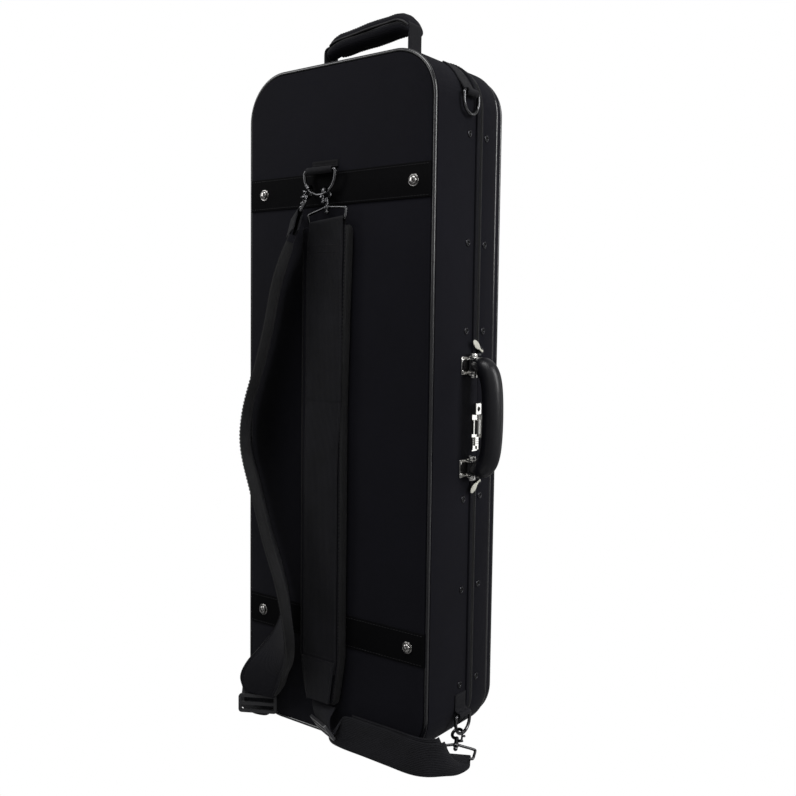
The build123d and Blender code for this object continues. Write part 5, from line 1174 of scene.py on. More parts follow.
def hooks():
    """The four snap hooks with their webbing loops, and the sprung triggers that shut them."""
    for name, body, pull, across, width in HOOKS:
        point, wire_way = hook_frame(name)
        down = Vector(pull).normalized()
        place = place_at(point + down * EYE_PLAY, -down, wire_way)
        shape = Shape()
        arc = []
        for degrees in range(-90, 181, 15):
            turn = math.radians(degrees)
            arc.append((0, HOOK_EYE * math.cos(turn), HOOK_EYE * math.sin(turn)))
        local_tube(shape, place, arc, [HOOK_WIRE] * (len(arc) - 3) + [1.8, 1.6, 1.2], 14)
        foot = -HOOK_EYE - HOOK_SHANK
        local_tube(shape, place, [(0, 0, -5.6), (0, 0, -8), (0, 0, -11), (0, 0, -13.6), (0, 0, -14.0)],
                   [2.2, 2.7, 2.5, 2.4, 1.5], 16)
        local_tube(shape, place, [(0, 0, -14), (0, 0, foot + 2)], 1.42, 14)
        ball = place @ Matrix.Translation((0, 0, foot))
        lathe(shape, BALL_PROFILE, ball, 18)
        guide = place @ Matrix.Translation((0, -4.2, -HOOK_EYE - 4.6))
        bevelled_box(shape, guide, (3.6, 8.0, 2.2), 0.6, 2)
        zed = -down
        bar = (Vector(across) - zed * Vector(across).dot(zed)).normalized()
        origin = point + down * EYE_PLAY
        half = width / 2
        corners = [(0.0, -15.6)] + [(-half * a, b) for a, b in LOOP_LEG] + [(0, -LOOP_DROP)]
        corners += [(half * a, b) for a, b in LOOP_LEG[::-1]]
        path = curve_points([origin + bar * a + zed * b for a, b in corners], 5, closed=True)
        tube(shape, path, LOOP_WIRE, 12, closed=True)
        collar = place @ Matrix.Translation((0, 0, -18.4))
        lathe(shape, ((1.85, 0), (3.1, 0.1), (3.4, 0.6), (3.4, 3.4), (3.1, 3.95), (1.85, 4.05)), collar, 20)
        shape.make(name + "_hook_metal", RING_METAL, body, replaces=(name + "_hook",), slot="dark_steel")
        trigger = Shape()
        high = -HOOK_WIRE - 0.3
        local_tube(trigger, place, [(0, -HOOK_EYE, -12.1), (0, -HOOK_EYE, high - 0.5), (0, -HOOK_EYE, high)],
                   [1.25, 1.25, 0.8], 14)
        knob = place @ Matrix.Translation((0, -HOOK_EYE, -5.0)) @ Matrix.Rotation(math.radians(90), 4, "X")
        lathe(trigger, ((1.0, 0.9), (1.0, 2.1), (1.4, 2.4), (1.4, 3.6), (1.0, 4.0), (0.05, 4.0)), knob, 16)
        trigger.make(name + "_trigger_rod", RING_METAL, name + "_trigger", replaces=(name + "_trigger",),
                     slot="dark_steel")


# Straps

QUARTER = ((1.0, 0.12), (0.998, 0.36), (0.985, 0.6), (0.955, 0.79), (0.91, 0.885), (0.86, 0.915), (0.80, 0.885),
           (0.775, 0.83), (0.75, 0.885), (0.68, 0.94), (0.5, 0.975), (0.25, 0.995))


def pad_section():
    """The section of a shoulder pad: round sides, a sewn groove inside each border and a crowned middle."""
    front_left = [(-a, h) for a, h in QUARTER]
    front_right = [(a, h) for a, h in QUARTER][::-1]
    back = [(a, -h) for a, h in QUARTER] + [(0.0, -1.0)] + [(-a, -h) for a, h in QUARTER][::-1]
    return tuple(front_left + [(0.0, 1.0)] + front_right + back)


PAD = pad_section()
PAD_MIDDLE_Y = -73.55
WEB_WIDTH = 38.0
WEB_THICK = 1.9
LOWER_BAR = (161.8, -35.8, 8.6)


def right_pad_stations():
    """The right pad from its lower end up, with its taper and round ends."""
    stations = []
    rows = ((44, 38, 5.0), (45.5, 43, 8.5), (49, 47, 11.2), (56, 50.2, 12.1), (70, 55, 12.2), (88, 61.4, 12.3),
            (103, 65.6, 12.3), (112, 66, 12.3), (160, 66, 12.3), (220, 66, 12.3), (290, 66, 12.3), (360, 66, 12.3),
            (412, 66, 12.3), (470, 67.6, 12.3), (530, 69.5, 12.3), (580, 71.4, 12.3), (602, 72, 12.3),
            (612, 71.5, 12.0), (616.5, 69.5, 10.4), (618.5, 66, 7.5))
    for z, width, thickness in rows:
        middle = -7.5 if z < 412 else -7.5 + 3.0 * (z - 412) / 200
        stations.append(((middle, PAD_MIDDLE_Y, z), (1, 0, 0), width, thickness))
    return stations


LEFT_ROUTE = ((-39.0, 32.5, 1.0, 44, 0.8), (-51.4, 34.5, 0.945, 45.8, 0.95), (-62.9, 35.0, 0.893, 45.8, 1.0),
              (-74.2, 35.0, 0.814, 45.8, 1.0), (-88.8, 35.0, 0.736, 45.8, 1.0), (-106.1, 35.0, 0.657, 45.8, 1.0),
              (-112.6, 35.0, 0.608, 45.8, 1.0), (-113.6, 35.0, 0.57, 45.8, 1.0), (-109.0, 35.0, 0.53, 45.8, 1.0),
              (-96.9, 35.0, 0.475, 45.8, 1.0), (-75.2, 35.0, 0.368, 45.8, 1.0), (-55.5, 35.0, 0.289, 45.8, 1.0),
              (-43.5, 34.5, 0.21, 45.0, 1.0), (-48.0, 33.0, 0.155, 35.0, 1.0), (-66.0, 28.0, 0.105, 18.0, 1.0),
              (-86.0, 24.0, 0.065, 5.0, 1.0), (-97.0, 22.0, 0.03, -3.0, 0.95), (-101.0, 21.0, 0.0, -10.0, 0.66))
LEFT_LOW_Z = 33.8
LEFT_HIGH_Z = 606.0


def left_pad_stations():
    """The left pad from its lower end up, twisted on its edge."""
    stations = []
    last = len(LEFT_ROUTE) - 1
    for index, (x, off, share, turn, width) in enumerate(reversed(LEFT_ROUTE)):
        z = LEFT_LOW_Z + share * (LEFT_HIGH_Z - LEFT_LOW_Z)
        turn = math.radians(turn)
        thickness = 8.5 if index in (0, last) else 12.2
        across = Vector((math.cos(turn), -math.sin(turn), 0))
        drawn_in = 7.0 if z > 330 else 0.0
        centre = Vector((x, BACK_Y - off, z)) - across * (drawn_in / 2)
        stations.append((centre, across, 72.0 * width - drawn_in, thickness))
    return stations


def shoulder_pad(name, node, stations, per_span):
    """One shoulder pad with the tape bound over its edges and the stitches beside it."""
    rows = strip_rings(stations, per_span)
    pad = strip_form(Shape(), rows, PAD).make(name + "_cloth", PAD_CLOTH, "case", replaces=(node,),
                                              slot="strap_pad", angle=60.0)
    tape = Shape()
    seam = Shape()
    for side in (-1, 1):
        binding(tape, rows[2:-2], side, 0.13, 0.45, PAD)
        for height in (1.0, -1.0):
            strip_stitches(seam, rows[3:-3], side * 0.9, 0.93 * height, 0.5, pitch=4.6, length=3.0)
    tape.make(name + "_binding", BINDING, "case", slot="strap_pad")
    return rows, seam


def pads():
    """Both shoulder pads."""
    rows, seam = shoulder_pad("right_pad", "right_shoulder_pad", right_pad_stations(), 4)
    seam.make("right_pad_stitches", THREAD, "case", slot="strap_pad")
    rows, seam = shoulder_pad("left_pad", "left_shoulder_pad", left_pad_stations(), 6)
    for side in (-0.775, 0.775):
        strip_stitches(seam, rows[3:-3], side, 0.84, 0.1)
    seam.make("left_pad_stitches", THREAD, "case", slot="strap_pad")


def fold_path(centre, down, front, back_length, front_length):
    """The path of webbing round a loop's bar: up the back, over the wire and down the front."""
    r = 3.0
    path = [centre - front * r + down * back_length, centre - front * r + down * (back_length * 0.5),
            centre - front * r]
    for degrees in (150, 120, 90, 60, 30):
        turn = math.radians(degrees)
        path.append(centre + front * (r * math.cos(turn)) - down * (r * math.sin(turn)))
    path += [centre + front * r, centre + front * r + down * front_length]
    return path


def right_webbing():
    """The right strap: round the top loop and down the pad, then along the floor to the lower hook."""
    shape = Shape()
    point, _ = hook_frame("right_top")
    pull = Vector(HOOKS[0][2]).normalized()
    centre = point + pull * (EYE_PLAY + LOOP_DROP)
    bar = (Vector((1, 0, 0)) + pull * -pull.x).normalized()
    path = fold_path(centre, Vector((0, 0, -1)), Vector((0, -1, 0)), 12.0, 6.0)
    stations = [(p, bar, 52, 1.9) for p in path]
    y = centre.y - 3.0
    stations += [((-2.0, y - 0.1, 606), (1, 0, 0.02), 54, 1.9), ((-2.3, y, 590), (1, 0, 0), 55, 1.9)]
    for z in (560, 500, 440, 417):
        stations.append(((-3.3, y, z), (1, 0, 0), 56, 1.9))
    for z in (412, 404):
        stations.append(((-3.9, y + 0.3, z), (1, 0, 0), 55, 1.9))
    for z in (340, 260, 180, 120, 100):
        stations.append(((-7.0, y + 0.3, z), (1, 0, 0), 53, 1.9))
    stations.append(((-7.3, y + 0.5, 84), (1, 0, 0), 50, 1.9))
    strip_form(shape, strip_rings(stations, 4))
    patch = [((-7.5, y - 1.5, 47), (1, 0, 0), 37, 1.5), ((-7.5, y - 1.7, 60), (1, 0, 0), 41, 1.5),
             ((-7.5, y - 1.7, 80), (1, 0, 0), 47, 1.5), ((-7.5, y - 1.6, 99), (1, 0, 0), 52, 1.5)]
    patch_rows = strip_rings(patch, 5)
    strip_form(shape, patch_rows)
    front = webbing_stations(RIGHT_TURN, 0, 1) + webbing_stations(FRONT_CORNER, HALF_WIDTH, 1)
    lower_run(shape, front, 1, -3)
    rear = webbing_stations(REAR_RUN, 0, 1) + webbing_stations(REAR_CORNER, HALF_WIDTH, 1)
    lower_run(shape, rear, 1, 3)
    lower_fold(shape, 1)
    ribbon = shape.make("right_strap_ribbon", WEBBING, None, replaces=("right_strap_webbing",), slot="webbing")
    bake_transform(ribbon)
    seams = Shape()
    for side in (-0.93, 0.93):
        long_rows = strip_rings(stations[10:], 4)
        strip_stitches(seams, long_rows, side, -1.0, 0.1)
        strip_stitches(seams, patch_rows, side * 0.94, 1.0, 0.1)
    for z in (596.0, 588.0, 103.0):
        depth = y - 1.0 + 0.3 * (z < 200)
        stitch_row(seams, [Vector((x, depth, z)) for x in range(-28, 24, 4)], [(0, -1, 0)] * 13)
    seams.make("right_strap_stitches", THREAD, "case", slot="webbing")


RIGHT_TURN = (((-4.0, 9.0, 41.0), (1, 0, 0)), ((0.0, 17.5, 32.0), (0.93, -0.3, 0.05)),
              ((9.0, 22.5, 22.0), (0.88, -0.46, 0.1)), ((13.0, 15.5, 13.0), (0.8, -0.6, 0.3)),
              ((22.0, 16.5, 17.5), (0.5, -0.05, 0.85)), ((36.0, 18.0, 19.9), (0.1, 0.2, 0.97)),
              ((70.0, 17.5, 19.6), (0, 0.25, 0.97)), ((105.0, 18.5, 19.6), (0, 0.25, 0.97)))
FRONT_CORNER = (((-6.0, 19.5, 19.6), (0, 0.2, 0.98)), ((12.5, 14.5, 19.6), (0, 0.1, 0.99)),
                ((24.5, 2.5, 19.4), (-0.1, 0, 0.99)), ((27.5, -9.5, 17.2), (-0.5, 0, 0.86)),
                ((25.5, -19.5, 11.0), (-0.85, -0.25, 0.35)))
REAR_RUN = (((40.0, 9.7, 19.6), (0, 0.15, 0.98)), ((70.0, 10.5, 19.6), (0, 0.2, 0.98)),
            ((98.0, 10.5, 19.6), (0, 0.2, 0.98)))
REAR_CORNER = (((-14.0, 10.5, 19.6), (0, 0.15, 0.98)), ((4.5, 6.5, 19.6), (-0.05, 0.1, 0.99)),
               ((14.5, -3.5, 19.4), (-0.15, 0, 0.98)), ((17.5, -13.5, 18.6), (-0.45, -0.1, 0.87)),
               ((20.5, -21.5, 14.5), (-0.84, -0.4, 0.35)))
LEFT_TURN = (((-105.0, 18.5, 33.0), (0.87, 0.5, 0)), ((-106.0, 19.5, 20.0), (0.87, 0.5, 0)),
             ((-111.0, 17.5, 14.0), (0.8, 0.3, -0.5)), ((-120.0, 15.0, 18.6), (0.4, 0, -0.92)))


def webbing_stations(rows, middle, side):
    """Stations of webbing from rows that count from one plane, from the back and from the floor."""
    stations = []
    for (x, off, z), across in rows:
        place = (side * (middle + x), BACK_Y - off, z)
        stations.append((place, (side * across[0], across[1], across[2]), WEB_WIDTH, WEB_THICK))
    return stations


def lower_bar(side):
    """The middle of a lower hook's bar, and the bar's direction."""
    return Vector((side * LOWER_BAR[0], *LOWER_BAR[1:])), (-0.884 * side, -0.468, 0)


def lower_run(shape, stations, side, rise):
    """Webbing through stations to the lower hook's bar, which it reaches at a rise."""
    bar_at, along = lower_bar(side)
    end = ((bar_at.x, bar_at.y - 1, bar_at.z + rise), along, WEB_WIDTH, WEB_THICK)
    strip_form(shape, strip_rings(stations + [end], 6))


def lower_fold(shape, side):
    """The webbing's turn round the lower hook's bar."""
    bar_at, along = lower_bar(side)
    bar = Vector(along).normalized()
    away = Vector((0.42 * side, -0.79, 0)).normalized() * -1
    path = []
    for degrees in (-90, -55, -20, 15, 50, 90):
        turn = math.radians(degrees)
        path.append(bar_at + away * (3.0 * math.cos(turn)) + Vector((0, 0, 3.0 * math.sin(turn))))
    strip_form(shape, strip_rings([(p, bar, 37.5, WEB_THICK) for p in path], 3))


def left_webbing():
    """The left strap: round its top loop into the pad, and from the pad's lower end to the lower hook."""
    shape = Shape()
    point, _ = hook_frame("left_top")
    pull = Vector(HOOKS[1][2]).normalized()
    across = Vector((0.75, -0.66, 0))
    centre = point + pull * (EYE_PLAY + LOOP_DROP)
    bar = (across - pull * across.dot(pull)).normalized()
    end = Vector((LEFT_ROUTE[0][0], BACK_Y - LEFT_ROUTE[0][1], LEFT_HIGH_Z))
    down = (end - centre).normalized()
    front = bar.cross(down).normalized()
    length = (end - centre).length - 3.0
    path = fold_path(centre, down, front, length, length)
    strip_form(shape, strip_rings([(p, bar, 50, 1.9) for p in path], 4))
    drop = [((x, BACK_Y - off, z), (-a[0], -a[1], -a[2]), WEB_WIDTH, WEB_THICK) for (x, off, z), a in LEFT_TURN]
    lower_run(shape, drop + webbing_stations(REAR_CORNER, HALF_WIDTH, -1), -1, 3)
    lower_fold(shape, -1)
    ribbon = shape.make("left_strap_ribbon", WEBBING, None, replaces=("left_strap_webbing",), slot="webbing")
    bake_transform(ribbon)


# Top handle

ARCH_SLOPE = 12.0 / 130.0
ARCH_Z = LENGTH + 42
# The leaves end LEAF_RIGHT_END from their middle; LEAF_ENDS has (share of the length, width, height)
LEAF_RIGHT_END = 63.0
LEAF_ENDS = ((-1.0, 0.80, 0.42), (-0.985, 0.86, 0.60), (-0.95, 0.92, 0.76), (-0.87, 0.97, 0.90),
             (-0.72, 1.0, 0.98),
             (-0.5, 1.0, 1.02), (-0.25, 1.01, 1.04), (0.02, 1.01, 1.05), (0.26, 1.01, 1.05), (0.5, 1.01, 1.05),
             (0.68, 1.0, 1.03), (0.8, 0.99, 1.0), (0.9, 0.96, 0.94), (0.96, 0.92, 0.84), (0.99, 0.86, 0.68),
             (1.0, 0.80, 0.5))


def top_handle():
    """The webbing arch over the top end, with its two padded leaves."""
    points = [(-65, 812.6), (-65, 826), (-65, 838.5), (-64.2, 843.0), (-61.4, 846.0), (-55, 847.0)]
    points += [(x, ARCH_Z + x * ARCH_SLOPE) for x in (-40, -20, 0, 20, 40)]
    points += [(55, 857.1), (61.4, 857.4), (64.3, 855.4), (65, 851), (65, 836), (65, 812.6)]
    rows = strip_rings([((x, 0, z), (0, -1, 0), 25, 2.4) for x, z in points], 5)
    ribbon = strip_form(Shape(), rows).make("top_handle_ribbon", WEBBING, None,
                                            replaces=("top_handle_webbing",), slot="webbing")
    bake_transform(ribbon)
    handle_leaf("rear_leaf", "top_handle_wrap", "top_handle", 1, 168, 1.03, 2.0, 58.0, 2.0)
    handle_leaf("front_leaf", "top_handle_leaf", "top_handle_leaf", -1, 14, 0.92, -0.5, 64.0, 7.0)


def handle_leaf(name, node, body, side, last, size, lift, left_end, left_drop):
    """One padded leaf: from under the arch round one side to its lip, with ends that droop."""
    along = Vector((1, 0, ARCH_SLOPE)).normalized()
    up = Vector((0, 1, 0)).cross(along) * -1
    centre = Vector((2, 0, ARCH_Z + 2 * ARCH_SLOPE))
    turns = [math.radians(-86 + (last + 86) * index / 18) for index in range(19)]
    verts = []
    strip = []
    lines = {2: [], 15: [], 18: []}
    for share, wide, tall in LEAF_ENDS:
        spot = share * (LEAF_RIGHT_END if share > 0 else left_end)
        drop = left_drop * max(0.0, -share - 0.55) ** 2 / 0.2 + 9.0 * max(0.0, share - 0.7) ** 2 / 0.09
        puff = 1.0 + 0.022 * math.sin(spot * 0.11 + side) + 0.014 * math.sin(spot * 0.31 + 2 * side)
        middle = centre + along * spot - up * drop
        outer = []
        inner = []
        for index, turn in enumerate(turns):
            end = math.sin(math.pi * (index + 0.4) / 18.8) ** 0.4
            across = (13.9 + 5.0 * end) * wide * puff * size
            high = (8.2 + 5.4 * end) * tall * puff * size
            outer.append(middle + Vector((0, side * across * math.cos(turn), 0))
                         + up * (high * math.sin(turn) + lift * tall))
            inner.append(middle + Vector((0, side * 13.2 * min(1.0, wide + 0.14) * size * math.cos(turn), 0))
                         + up * (6.6 * min(1.0, tall + 0.2) * size * math.sin(turn) + lift * tall))
        for index, line in lines.items():
            line.append((outer[index], middle))
        verts.extend(outer + inner[::-1])
        strip.extend((index * 2.0 * MM, spot * MM) for index in range(2 * len(turns)))
    shape = Shape().add(verts, rings_to_faces(len(LEAF_ENDS), 2 * len(turns), False, True), strip)
    piece = shape.make("top_handle_" + name, PAD_CLOTH, body, replaces=(node,), slot="strap_pad", angle=60.0)
    seam = Shape()
    for index in (2, 15):
        line = lines[index][2:-2]
        stitch_row(seam, [point for point, _ in line], [point - middle for point, middle in line], pitch=3.8)
    seam.make("top_handle_" + name + "_stitches", THREAD, body, slot="strap_pad")
    edge = tube(Shape(), curve_points([point for point, _ in lines[18][1:-1]], 4), 1.35, 12)
    edge.make("top_handle_" + name + "_binding", LEAF_EDGE, body, slot="strap_pad")


# Inside

LINING_Y = BACK_Y + 11
CUSHION_Y = 18.0
LID_PAD_Y = LID_Y - 11


def viola_side(side):
    """The outline (x, z) of one long cushion: the shell outside, the viola's bouts inside."""
    lower = (152.0, 127.0)
    upper = (350.0, 104.0)
    lean = math.asin((lower[1] - upper[1]) / (upper[0] - lower[0]))
    loop = []
    high_turn = math.acos(20.0 / upper[1])
    for step in range(13):
        turn = high_turn + (lean - high_turn) * step / 12
        loop.append((upper[1] * math.cos(turn), upper[0] + upper[1] * math.sin(turn)))
    low_turn = -math.acos(20.0 / lower[1])
    for step in range(19):
        turn = lean + (low_turn - lean) * step / 18
        loop.append((lower[1] * math.cos(turn), lower[0] + lower[1] * math.sin(turn)))
    wall = 6.6
    r = CORNER - wall
    loop += [(20, wall), (50, wall)]
    for step in range(9):
        turn = math.radians(-90 + 90 * step / 8)
        loop.append((HALF_WIDTH - wall - r + r * math.cos(turn), wall + r + r * math.sin(turn)))
    for z in range(80, 465, 20):
        loop.append((HALF_WIDTH - wall, z))
    loop += [(HALF_WIDTH - wall, 469.5), (110, 469.5), (80, 469.5), (50, 469.5), (20, 469.5)]
    return [(side * x, z) for x, z in loop]


def back_lining():
    """The plush lining on the body's floor."""
    levels = ((6.4, BACK_Y + 6.05), (6.4, LINING_Y - 1.5), (6.9, LINING_Y - 0.4), (8.5, LINING_Y))
    lining = shell(Shape(), levels)
    lining.make("back_lining_plush", LINING, "case", replaces=("back_lining",), slot="lining")


def side_cushions():
    """The two long cushions that the viola lies between."""
    cushions = Shape()
    for side in (-1, 1):
        cushion_form(cushions, viola_side(side), LINING_Y + 0.1, CUSHION_Y, 4.0)
    piece = cushions.make("side_cushion_plush", PLUSH, "case", replaces=("side_cushions",), slot="plush")


def viola_rests():
    """The two pads under the viola's back."""
    rests = Shape()
    for z, width in ((120, 170), (400, 120)):
        corners = ((-width / 2, z - 30), (width / 2, z - 30), (width / 2, z + 30), (-width / 2, z + 30))
        cushion_form(rests, dense_loop(corners, 6.0, 13.0), LINING_Y + 0.1, LINING_Y + 8.2, 3.5, 0.8)
    piece = rests.make("viola_rests", PLUSH, "case", replaces=("suspension_pads",), slot="plush")


def neck_cradle():
    """The notched block under the viola's neck, and the soft strap over it."""
    cradle = Shape()
    half = 40.6
    rim = [(half, CUSHION_Y - 2.5), (half - 0.8, CUSHION_Y - 0.8), (half - 2.5, CUSHION_Y), (30.5, CUSHION_Y),
           (28.9, CUSHION_Y - 0.7), (28.1, CUSHION_Y - 2.2), (28, 3)]
    profile = [(-half, LINING_Y + 0.2), (half, LINING_Y + 0.2)] + rim
    for step in range(1, 12):
        turn = -math.pi * step / 12
        profile.append((28 * math.cos(turn), 3 + 28 * math.sin(turn)))
    profile += [(-x, y) for x, y in rim[::-1]]
    verts = []
    for z, inset in ((500.2, 1.6), (500.6, 0.7), (502, 0.0), (530, 0.0), (558, 0.0), (559.4, 0.7),
                     (559.8, 1.6)):
        verts.extend(Vector((x, y, z)) for x, y in offset_loop(profile, inset))
    cradle.add(verts, rings_to_faces(7, len(profile), False, True))
    over = ((-half + 1, 1.1), (-20, 1.8), (0, 1.9), (20, 1.8), (half - 1, 1.1))
    strap = [((x, CUSHION_Y + rise, 530), (0, 0, 1), WEB_WIDTH, WEB_THICK) for x, rise in over]
    strip_form(cradle, strip_rings(strap, 4))
    piece = cradle.make("neck_cradle_plush", PLUSH, "case", replaces=("neck_cradle",), slot="plush")


def accessory_boxes():
    """The two open boxes beside the neck."""
    boxes = Shape()
    for side in (-1, 1):
        outer = box_loop(side, 0.2)
        inner = box_loop(side, 4.2)
        levels = ((outer, 0, LINING_Y + 0.1), (outer, 0, CUSHION_Y - 1.6), (outer, 0.5, CUSHION_Y - 0.5),
                  (outer, 1.4, CUSHION_Y), (inner, -1.3, CUSHION_Y), (inner, -0.4, CUSHION_Y - 0.5),
                  (inner, 0, CUSHION_Y - 1.6), (inner, 0, LINING_Y + 5.5), (inner, 1.2, LINING_Y + 4.3))
        verts = []
        for loop, inset, y in levels:
            verts.extend(Vector((x, y, z)) for x, z in offset_loop(loop, inset))
        boxes.add(verts, rings_to_faces(len(levels), len(outer), False, True))
    boxes.make("accessory_box_plush", PLUSH, "case", replaces=("accessory_boxes",), slot="plush")


def box_loop(side, wall):
    """The outline (x, z) of one accessory box, with the shell's corner."""
    near = 41.0 + wall
    low = 470.3 + wall
    far = HALF_WIDTH - 6.3 - wall
    high = LENGTH - 6.3 - wall
    r = CORNER - 6.3 - wall
    loop = []
    for index in range(12):
        loop.append((near + (far - near) * index / 12, low))
    for index in range(24):
        loop.append((far, low + (high - r - low) * index / 24))
    for index in range(9):
        turn = math.radians(90 * index / 9)
        loop.append((far - r + r * math.cos(turn), high - r + r * math.sin(turn)))
    for index in range(5):
        loop.append((far - r + (near - far + r) * index / 5, high))
    for index in range(28):
        loop.append((near, high + (low - high) * index / 28))
    return [(side * x, z) for x, z in loop]


def lid_padding():
    """The lid's plush padding."""
    levels = ((5.4, LID_Y - 5.05), (5.4, LID_PAD_Y + 1.8), (6.0, LID_PAD_Y + 0.6), (7.5, LID_PAD_Y))
    pad = shell(Shape(), levels)
    piece = pad.make("lid_padding_plush", PLUSH, "lid", replaces=("lid_padding",), slot="plush")


def bow_sleeves():
    """The two sleeves for the bows' tips."""
    sleeves = Shape()
    outer = [(12, 37.5), (14.4, 37.9), (16.2, 39.2), (17, 41.5), (17, LID_PAD_Y)]
    inner = [(9, LID_PAD_Y - 3), (9, 41.2), (8.2, 40.5)]
    section = [(-a, y) for a, y in outer[::-1]] + [(0, 37.2)] + outer + inner
    section += [(-a, y) for a, y in inner[::-1]]
    for x in (-62.0, 62.0):
        verts = [(x + a, y, z) for z in (748.0, 748.6, 770.0, 790.5, 791.0) for a, y in section]
        sleeves.add([Vector(v) for v in verts], rings_to_faces(5, len(section), False, True))
        bevelled_box(sleeves, place_at((x, 45.9, 792.4), (0, 0, 1)), (33.6, 16.6, 3.0), 1.2, 2)
    sleeves.make("bow_tip_sleeves", PLUSH, "lid", replaces=("bow_tip_holder",), slot="plush")


def lid_stays():
    """The ribbons that stop the lid, in the shape they have when it is shut."""
    stays = Shape()
    for z in (9.3, 800.7):
        path = [((-67.5, y, z), (1, 0, 0), 15, 0.9) for y in (21.8, 30, 38, 46, 54.2)]
        strip_form(stays, strip_rings(path, 3))
    stays.make("lid_stay_ribbons", RIBBON, "case", replaces=("lid_stays",), slot="ribbon")


SMALL_NODES = {
    "lock_plate": (0.35, 2), "key_cylinder": (0.2, 2), "release_slide": (0.3, 2), "hasp_plate": (0.3, 2),
    "lock_hasp": (0.35, 2), "hinge_body_leaves": (0.25, 2), "hinge_lid_leaves": (0.25, 2),
    "hinge_pins": (0.2, 2),
    "upper_zip_slider": (0.3, 2), "lower_zip_slider": (0.3, 2), "pocket_zip_slider": (0.25, 2),
    "strap_adjusters": (0.7, 3),
    "top_handle_anchors": (0.6, 3), "bow_bases": (0.4, 2), "left_bow_lever": (0.5, 2),
    "right_bow_lever": (0.5, 2),
}


def soften_nodes():
    """Rounds the edges of the small hard nodes that stay in view."""
    for name, (width, segments) in SMALL_NODES.items():
        edge = frame["nodes"][name].modifiers.new("soft_edges", "BEVEL")
        edge.width = width * MM
        edge.segments = segments
        edge.limit_method = "ANGLE"
        edge.angle_limit = math.radians(40)
        edge.harden_normals = False


def zip_pulls():
    """The pale lozenges of the case's two zip sliders: a crowned leaf on a neck with its eye."""
    for up, name in ((1, "upper"), (-1, "lower")):
        node = name + "_zip_pull"
        low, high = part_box(node)
        lean = math.radians(34)
        along = Vector((0.03, -math.cos(lean), up * math.sin(lean))).normalized()
        pivot = Vector(((low[0] + high[0]) / 2, high[1], low[2] if up > 0 else high[2])) / MM
        pivot += Vector((0, -1.7, up * 1.7))
        place = place_at(pivot, (1, 0, 0), along)
        shape = Shape()
        verts = []
        rows = ((1.2, 1.3, 0.8), (3.0, 1.35, 0.85), (5.4, 1.3, 0.8), (6.6, 1.9, 0.85), (8.2, 2.9, 0.95),
                (10.6, 3.75, 1.0), (13.4, 4.15, 1.05), (16.4, 3.9, 1.0), (19.0, 3.1, 0.95), (20.9, 2.0, 0.8),
                (21.8, 0.8, 0.5))
        for x, half, thick in rows:
            for step in range(20):
                turn = 2 * math.pi * step / 20
                c = math.cos(turn)
                s = math.sin(turn)
                rim = 1.0 - 0.28 * (1 - abs(c)) if x > 8 and s > 0 else 1.0
                verts.append(place @ Vector((x, half * math.copysign(abs(c) ** 0.8, c),
                                             thick * rim * math.copysign(abs(s) ** 0.7, s))))
        shape.add(verts, rings_to_faces(len(rows), 20, False, True))
        eye = []
        for t in range(12):
            turn = t / 12 * 2 * math.pi
            eye.append(place @ Vector((1.35 * math.cos(turn), 0, 1.35 * math.sin(turn))))
        tube(shape, eye, 0.42, 10, closed=True, flat=3.2, up=place @ Vector((0, 1, 0)) - pivot)
        shape.make(name + "_pull_lozenge", PULL, node, replaces=(node,), slot="pull_plastic")


def key_slot_shade():
    """A dark disc on the lock's key cylinder face: painted shade for its key slot and the ring round it."""
    low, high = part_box("key_cylinder")
    middle = Vector(((low[0] + high[0]) / 2, (low[1] + high[1]) / 2, (low[2] + high[2]) / 2)) / MM
    face = Vector((high[0] / MM, middle.y, middle.z))
    dark = Shape()
    # Painted shade: a flat dark disc over the slot and the ring round it
    lathe(dark, ((2.75, -0.05), (2.75, 0.12), (2.3, 0.16), (0.05, 0.16)), place_at(face, (1, 0, 0)), 28)
    dark.make("key_hole_shade", HOLE_SHADE, "key_cylinder", slot="hard_plastic")


# Camera, floor and light

STUDIO_LIGHT = 0.22


def make_camera():
    """The camera at the photograph's place and angle."""
    azimuth = math.radians(CAMERA_AZIMUTH)
    elevation = math.radians(CAMERA_ELEVATION)
    roll = math.radians(CAMERA_ROLL)
    back = Vector((math.sin(azimuth) * math.cos(elevation), -math.cos(azimuth) * math.cos(elevation),
                   math.sin(elevation)))
    level = Vector((math.cos(azimuth), math.sin(azimuth), 0))
    upright = back.cross(level)
    right = level * math.cos(roll) + upright * math.sin(roll)
    up = upright * math.cos(roll) - level * math.sin(roll)
    data = bpy.data.cameras.new("camera")
    data.sensor_width = SENSOR_MM
    data.lens = SENSOR_MM * CAMERA_FOCAL_PX / IMAGE_WIDTH_PX
    data.clip_start = 0.01
    camera = bpy.data.objects.new("camera", data)
    turned = Matrix((right, up, back)).transposed().to_4x4()
    camera.matrix_world = Matrix.Translation(Vector(CAMERA_PLACE) * MM) @ turned
    bpy.context.scene.collection.objects.link(camera)
    bpy.context.scene.camera = camera


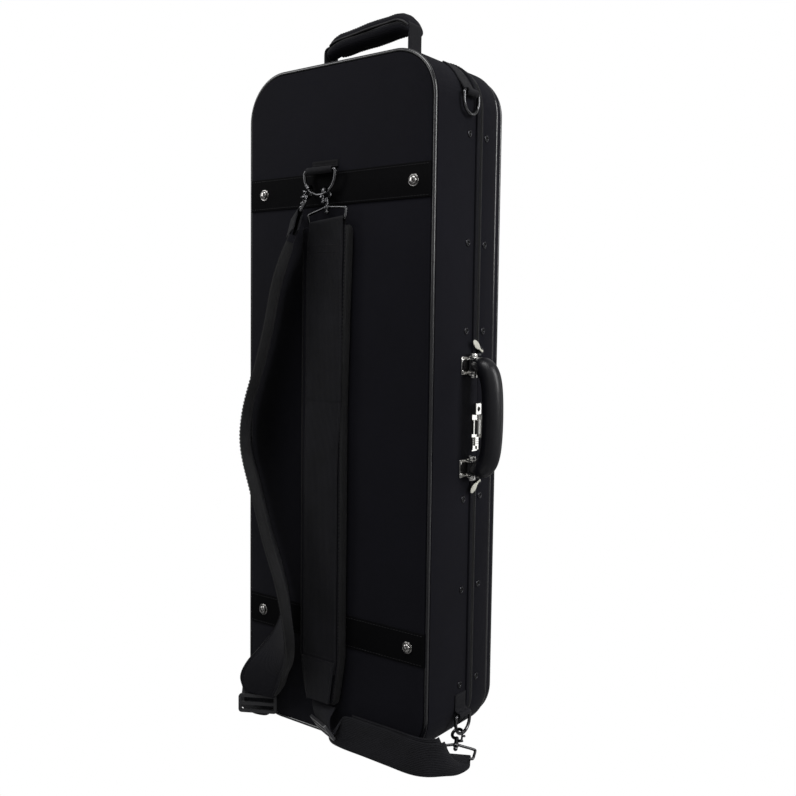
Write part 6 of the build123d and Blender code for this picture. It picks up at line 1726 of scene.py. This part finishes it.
def make_stage():
    """A floor and a surround that the camera sees as the same white, round a darker studio."""
    bpy.ops.mesh.primitive_plane_add(size=14, location=(0, 0, 0))
    floor = bpy.context.object
    floor.name = "floor"
    material, _, shader = node_material("floor")
    shader.inputs["Base Color"].default_value = (0.0, 0.0, 0.0, 1)
    shader.inputs["Specular IOR Level"].default_value = 0.0
    shader.inputs["Roughness"].default_value = 1.0
    shader.inputs["Emission Color"].default_value = (1, 1, 1, 1)
    shader.inputs["Emission Strength"].default_value = 1.0
    floor.data.materials.append(material)
    floor.visible_diffuse = False
    floor.visible_glossy = False
    floor.visible_shadow = False
    world = bpy.data.worlds.new("surround")
    bpy.context.scene.world = world
    world.use_nodes = True
    tree = world.node_tree
    background = tree.nodes["Background"]
    background.inputs["Color"].default_value = (1, 1, 1, 1)
    seen = tree.nodes.new("ShaderNodeLightPath").outputs["Is Camera Ray"]
    way = tree.nodes.new("ShaderNodeTexCoord").outputs["Generated"]
    patches = ramp(tree, noise(tree, way, 2.2, 1.0), ((0.42, (0.03,) * 3), (0.56, (1.0,) * 3)))
    studio = maths(tree, "MULTIPLY", patches, 2 * STUDIO_LIGHT)
    tree.links.new(maths(tree, "MAXIMUM", studio, seen), background.inputs["Strength"])
    bpy.context.scene.view_settings.view_transform = "Standard"


def soft_light(name, place, target, size, power):
    """One large soft lamp that points at a target."""
    data = bpy.data.lights.new(name, "AREA")
    data.shape = "RECTANGLE"
    data.size, data.size_y = size
    data.energy = power
    lamp = bpy.data.objects.new(name, data)
    lamp.location = place
    lamp.rotation_mode = "QUATERNION"
    lamp.rotation_quaternion = (Vector(target) - Vector(place)).to_track_quat("-Z", "Y")
    bpy.context.scene.collection.objects.link(lamp)


make_camera()
make_stage()
soft_light("lamp_right", (2.4, 0.2, 1.5), (0.1, 0, 0.4), (0.8, 1.8), 38)
soft_light("lamp_left", (-2.2, -2.2, 1.6), (0, 0, 0.4), (0.9, 1.8), 14)
soft_light("lamp_top", (0.2, -1.1, 2.4), (0, 0, 0.7), (1.4, 0.8), 20)
soft_light("lamp_edge", (1.5, 2.0, 0.5), (0.14, 0, 0.4), (0.3, 1.6), 2.5)
case_tray()
lid_tray()
pipings()
music_pocket()
zip_and_flap()
pocket_zip()
bands()
studs_and_rivets()
carry_grip()
handle_brackets()
rings()
ring_tabs()
hooks()
pads()
right_webbing()
left_webbing()
top_handle()
back_lining()
side_cushions()
viola_rests()
neck_cradle()
accessory_boxes()
lid_padding()
bow_sleeves()
lid_stays()
zip_pulls()
key_slot_shade()
soften_nodes()
dress_nodes()
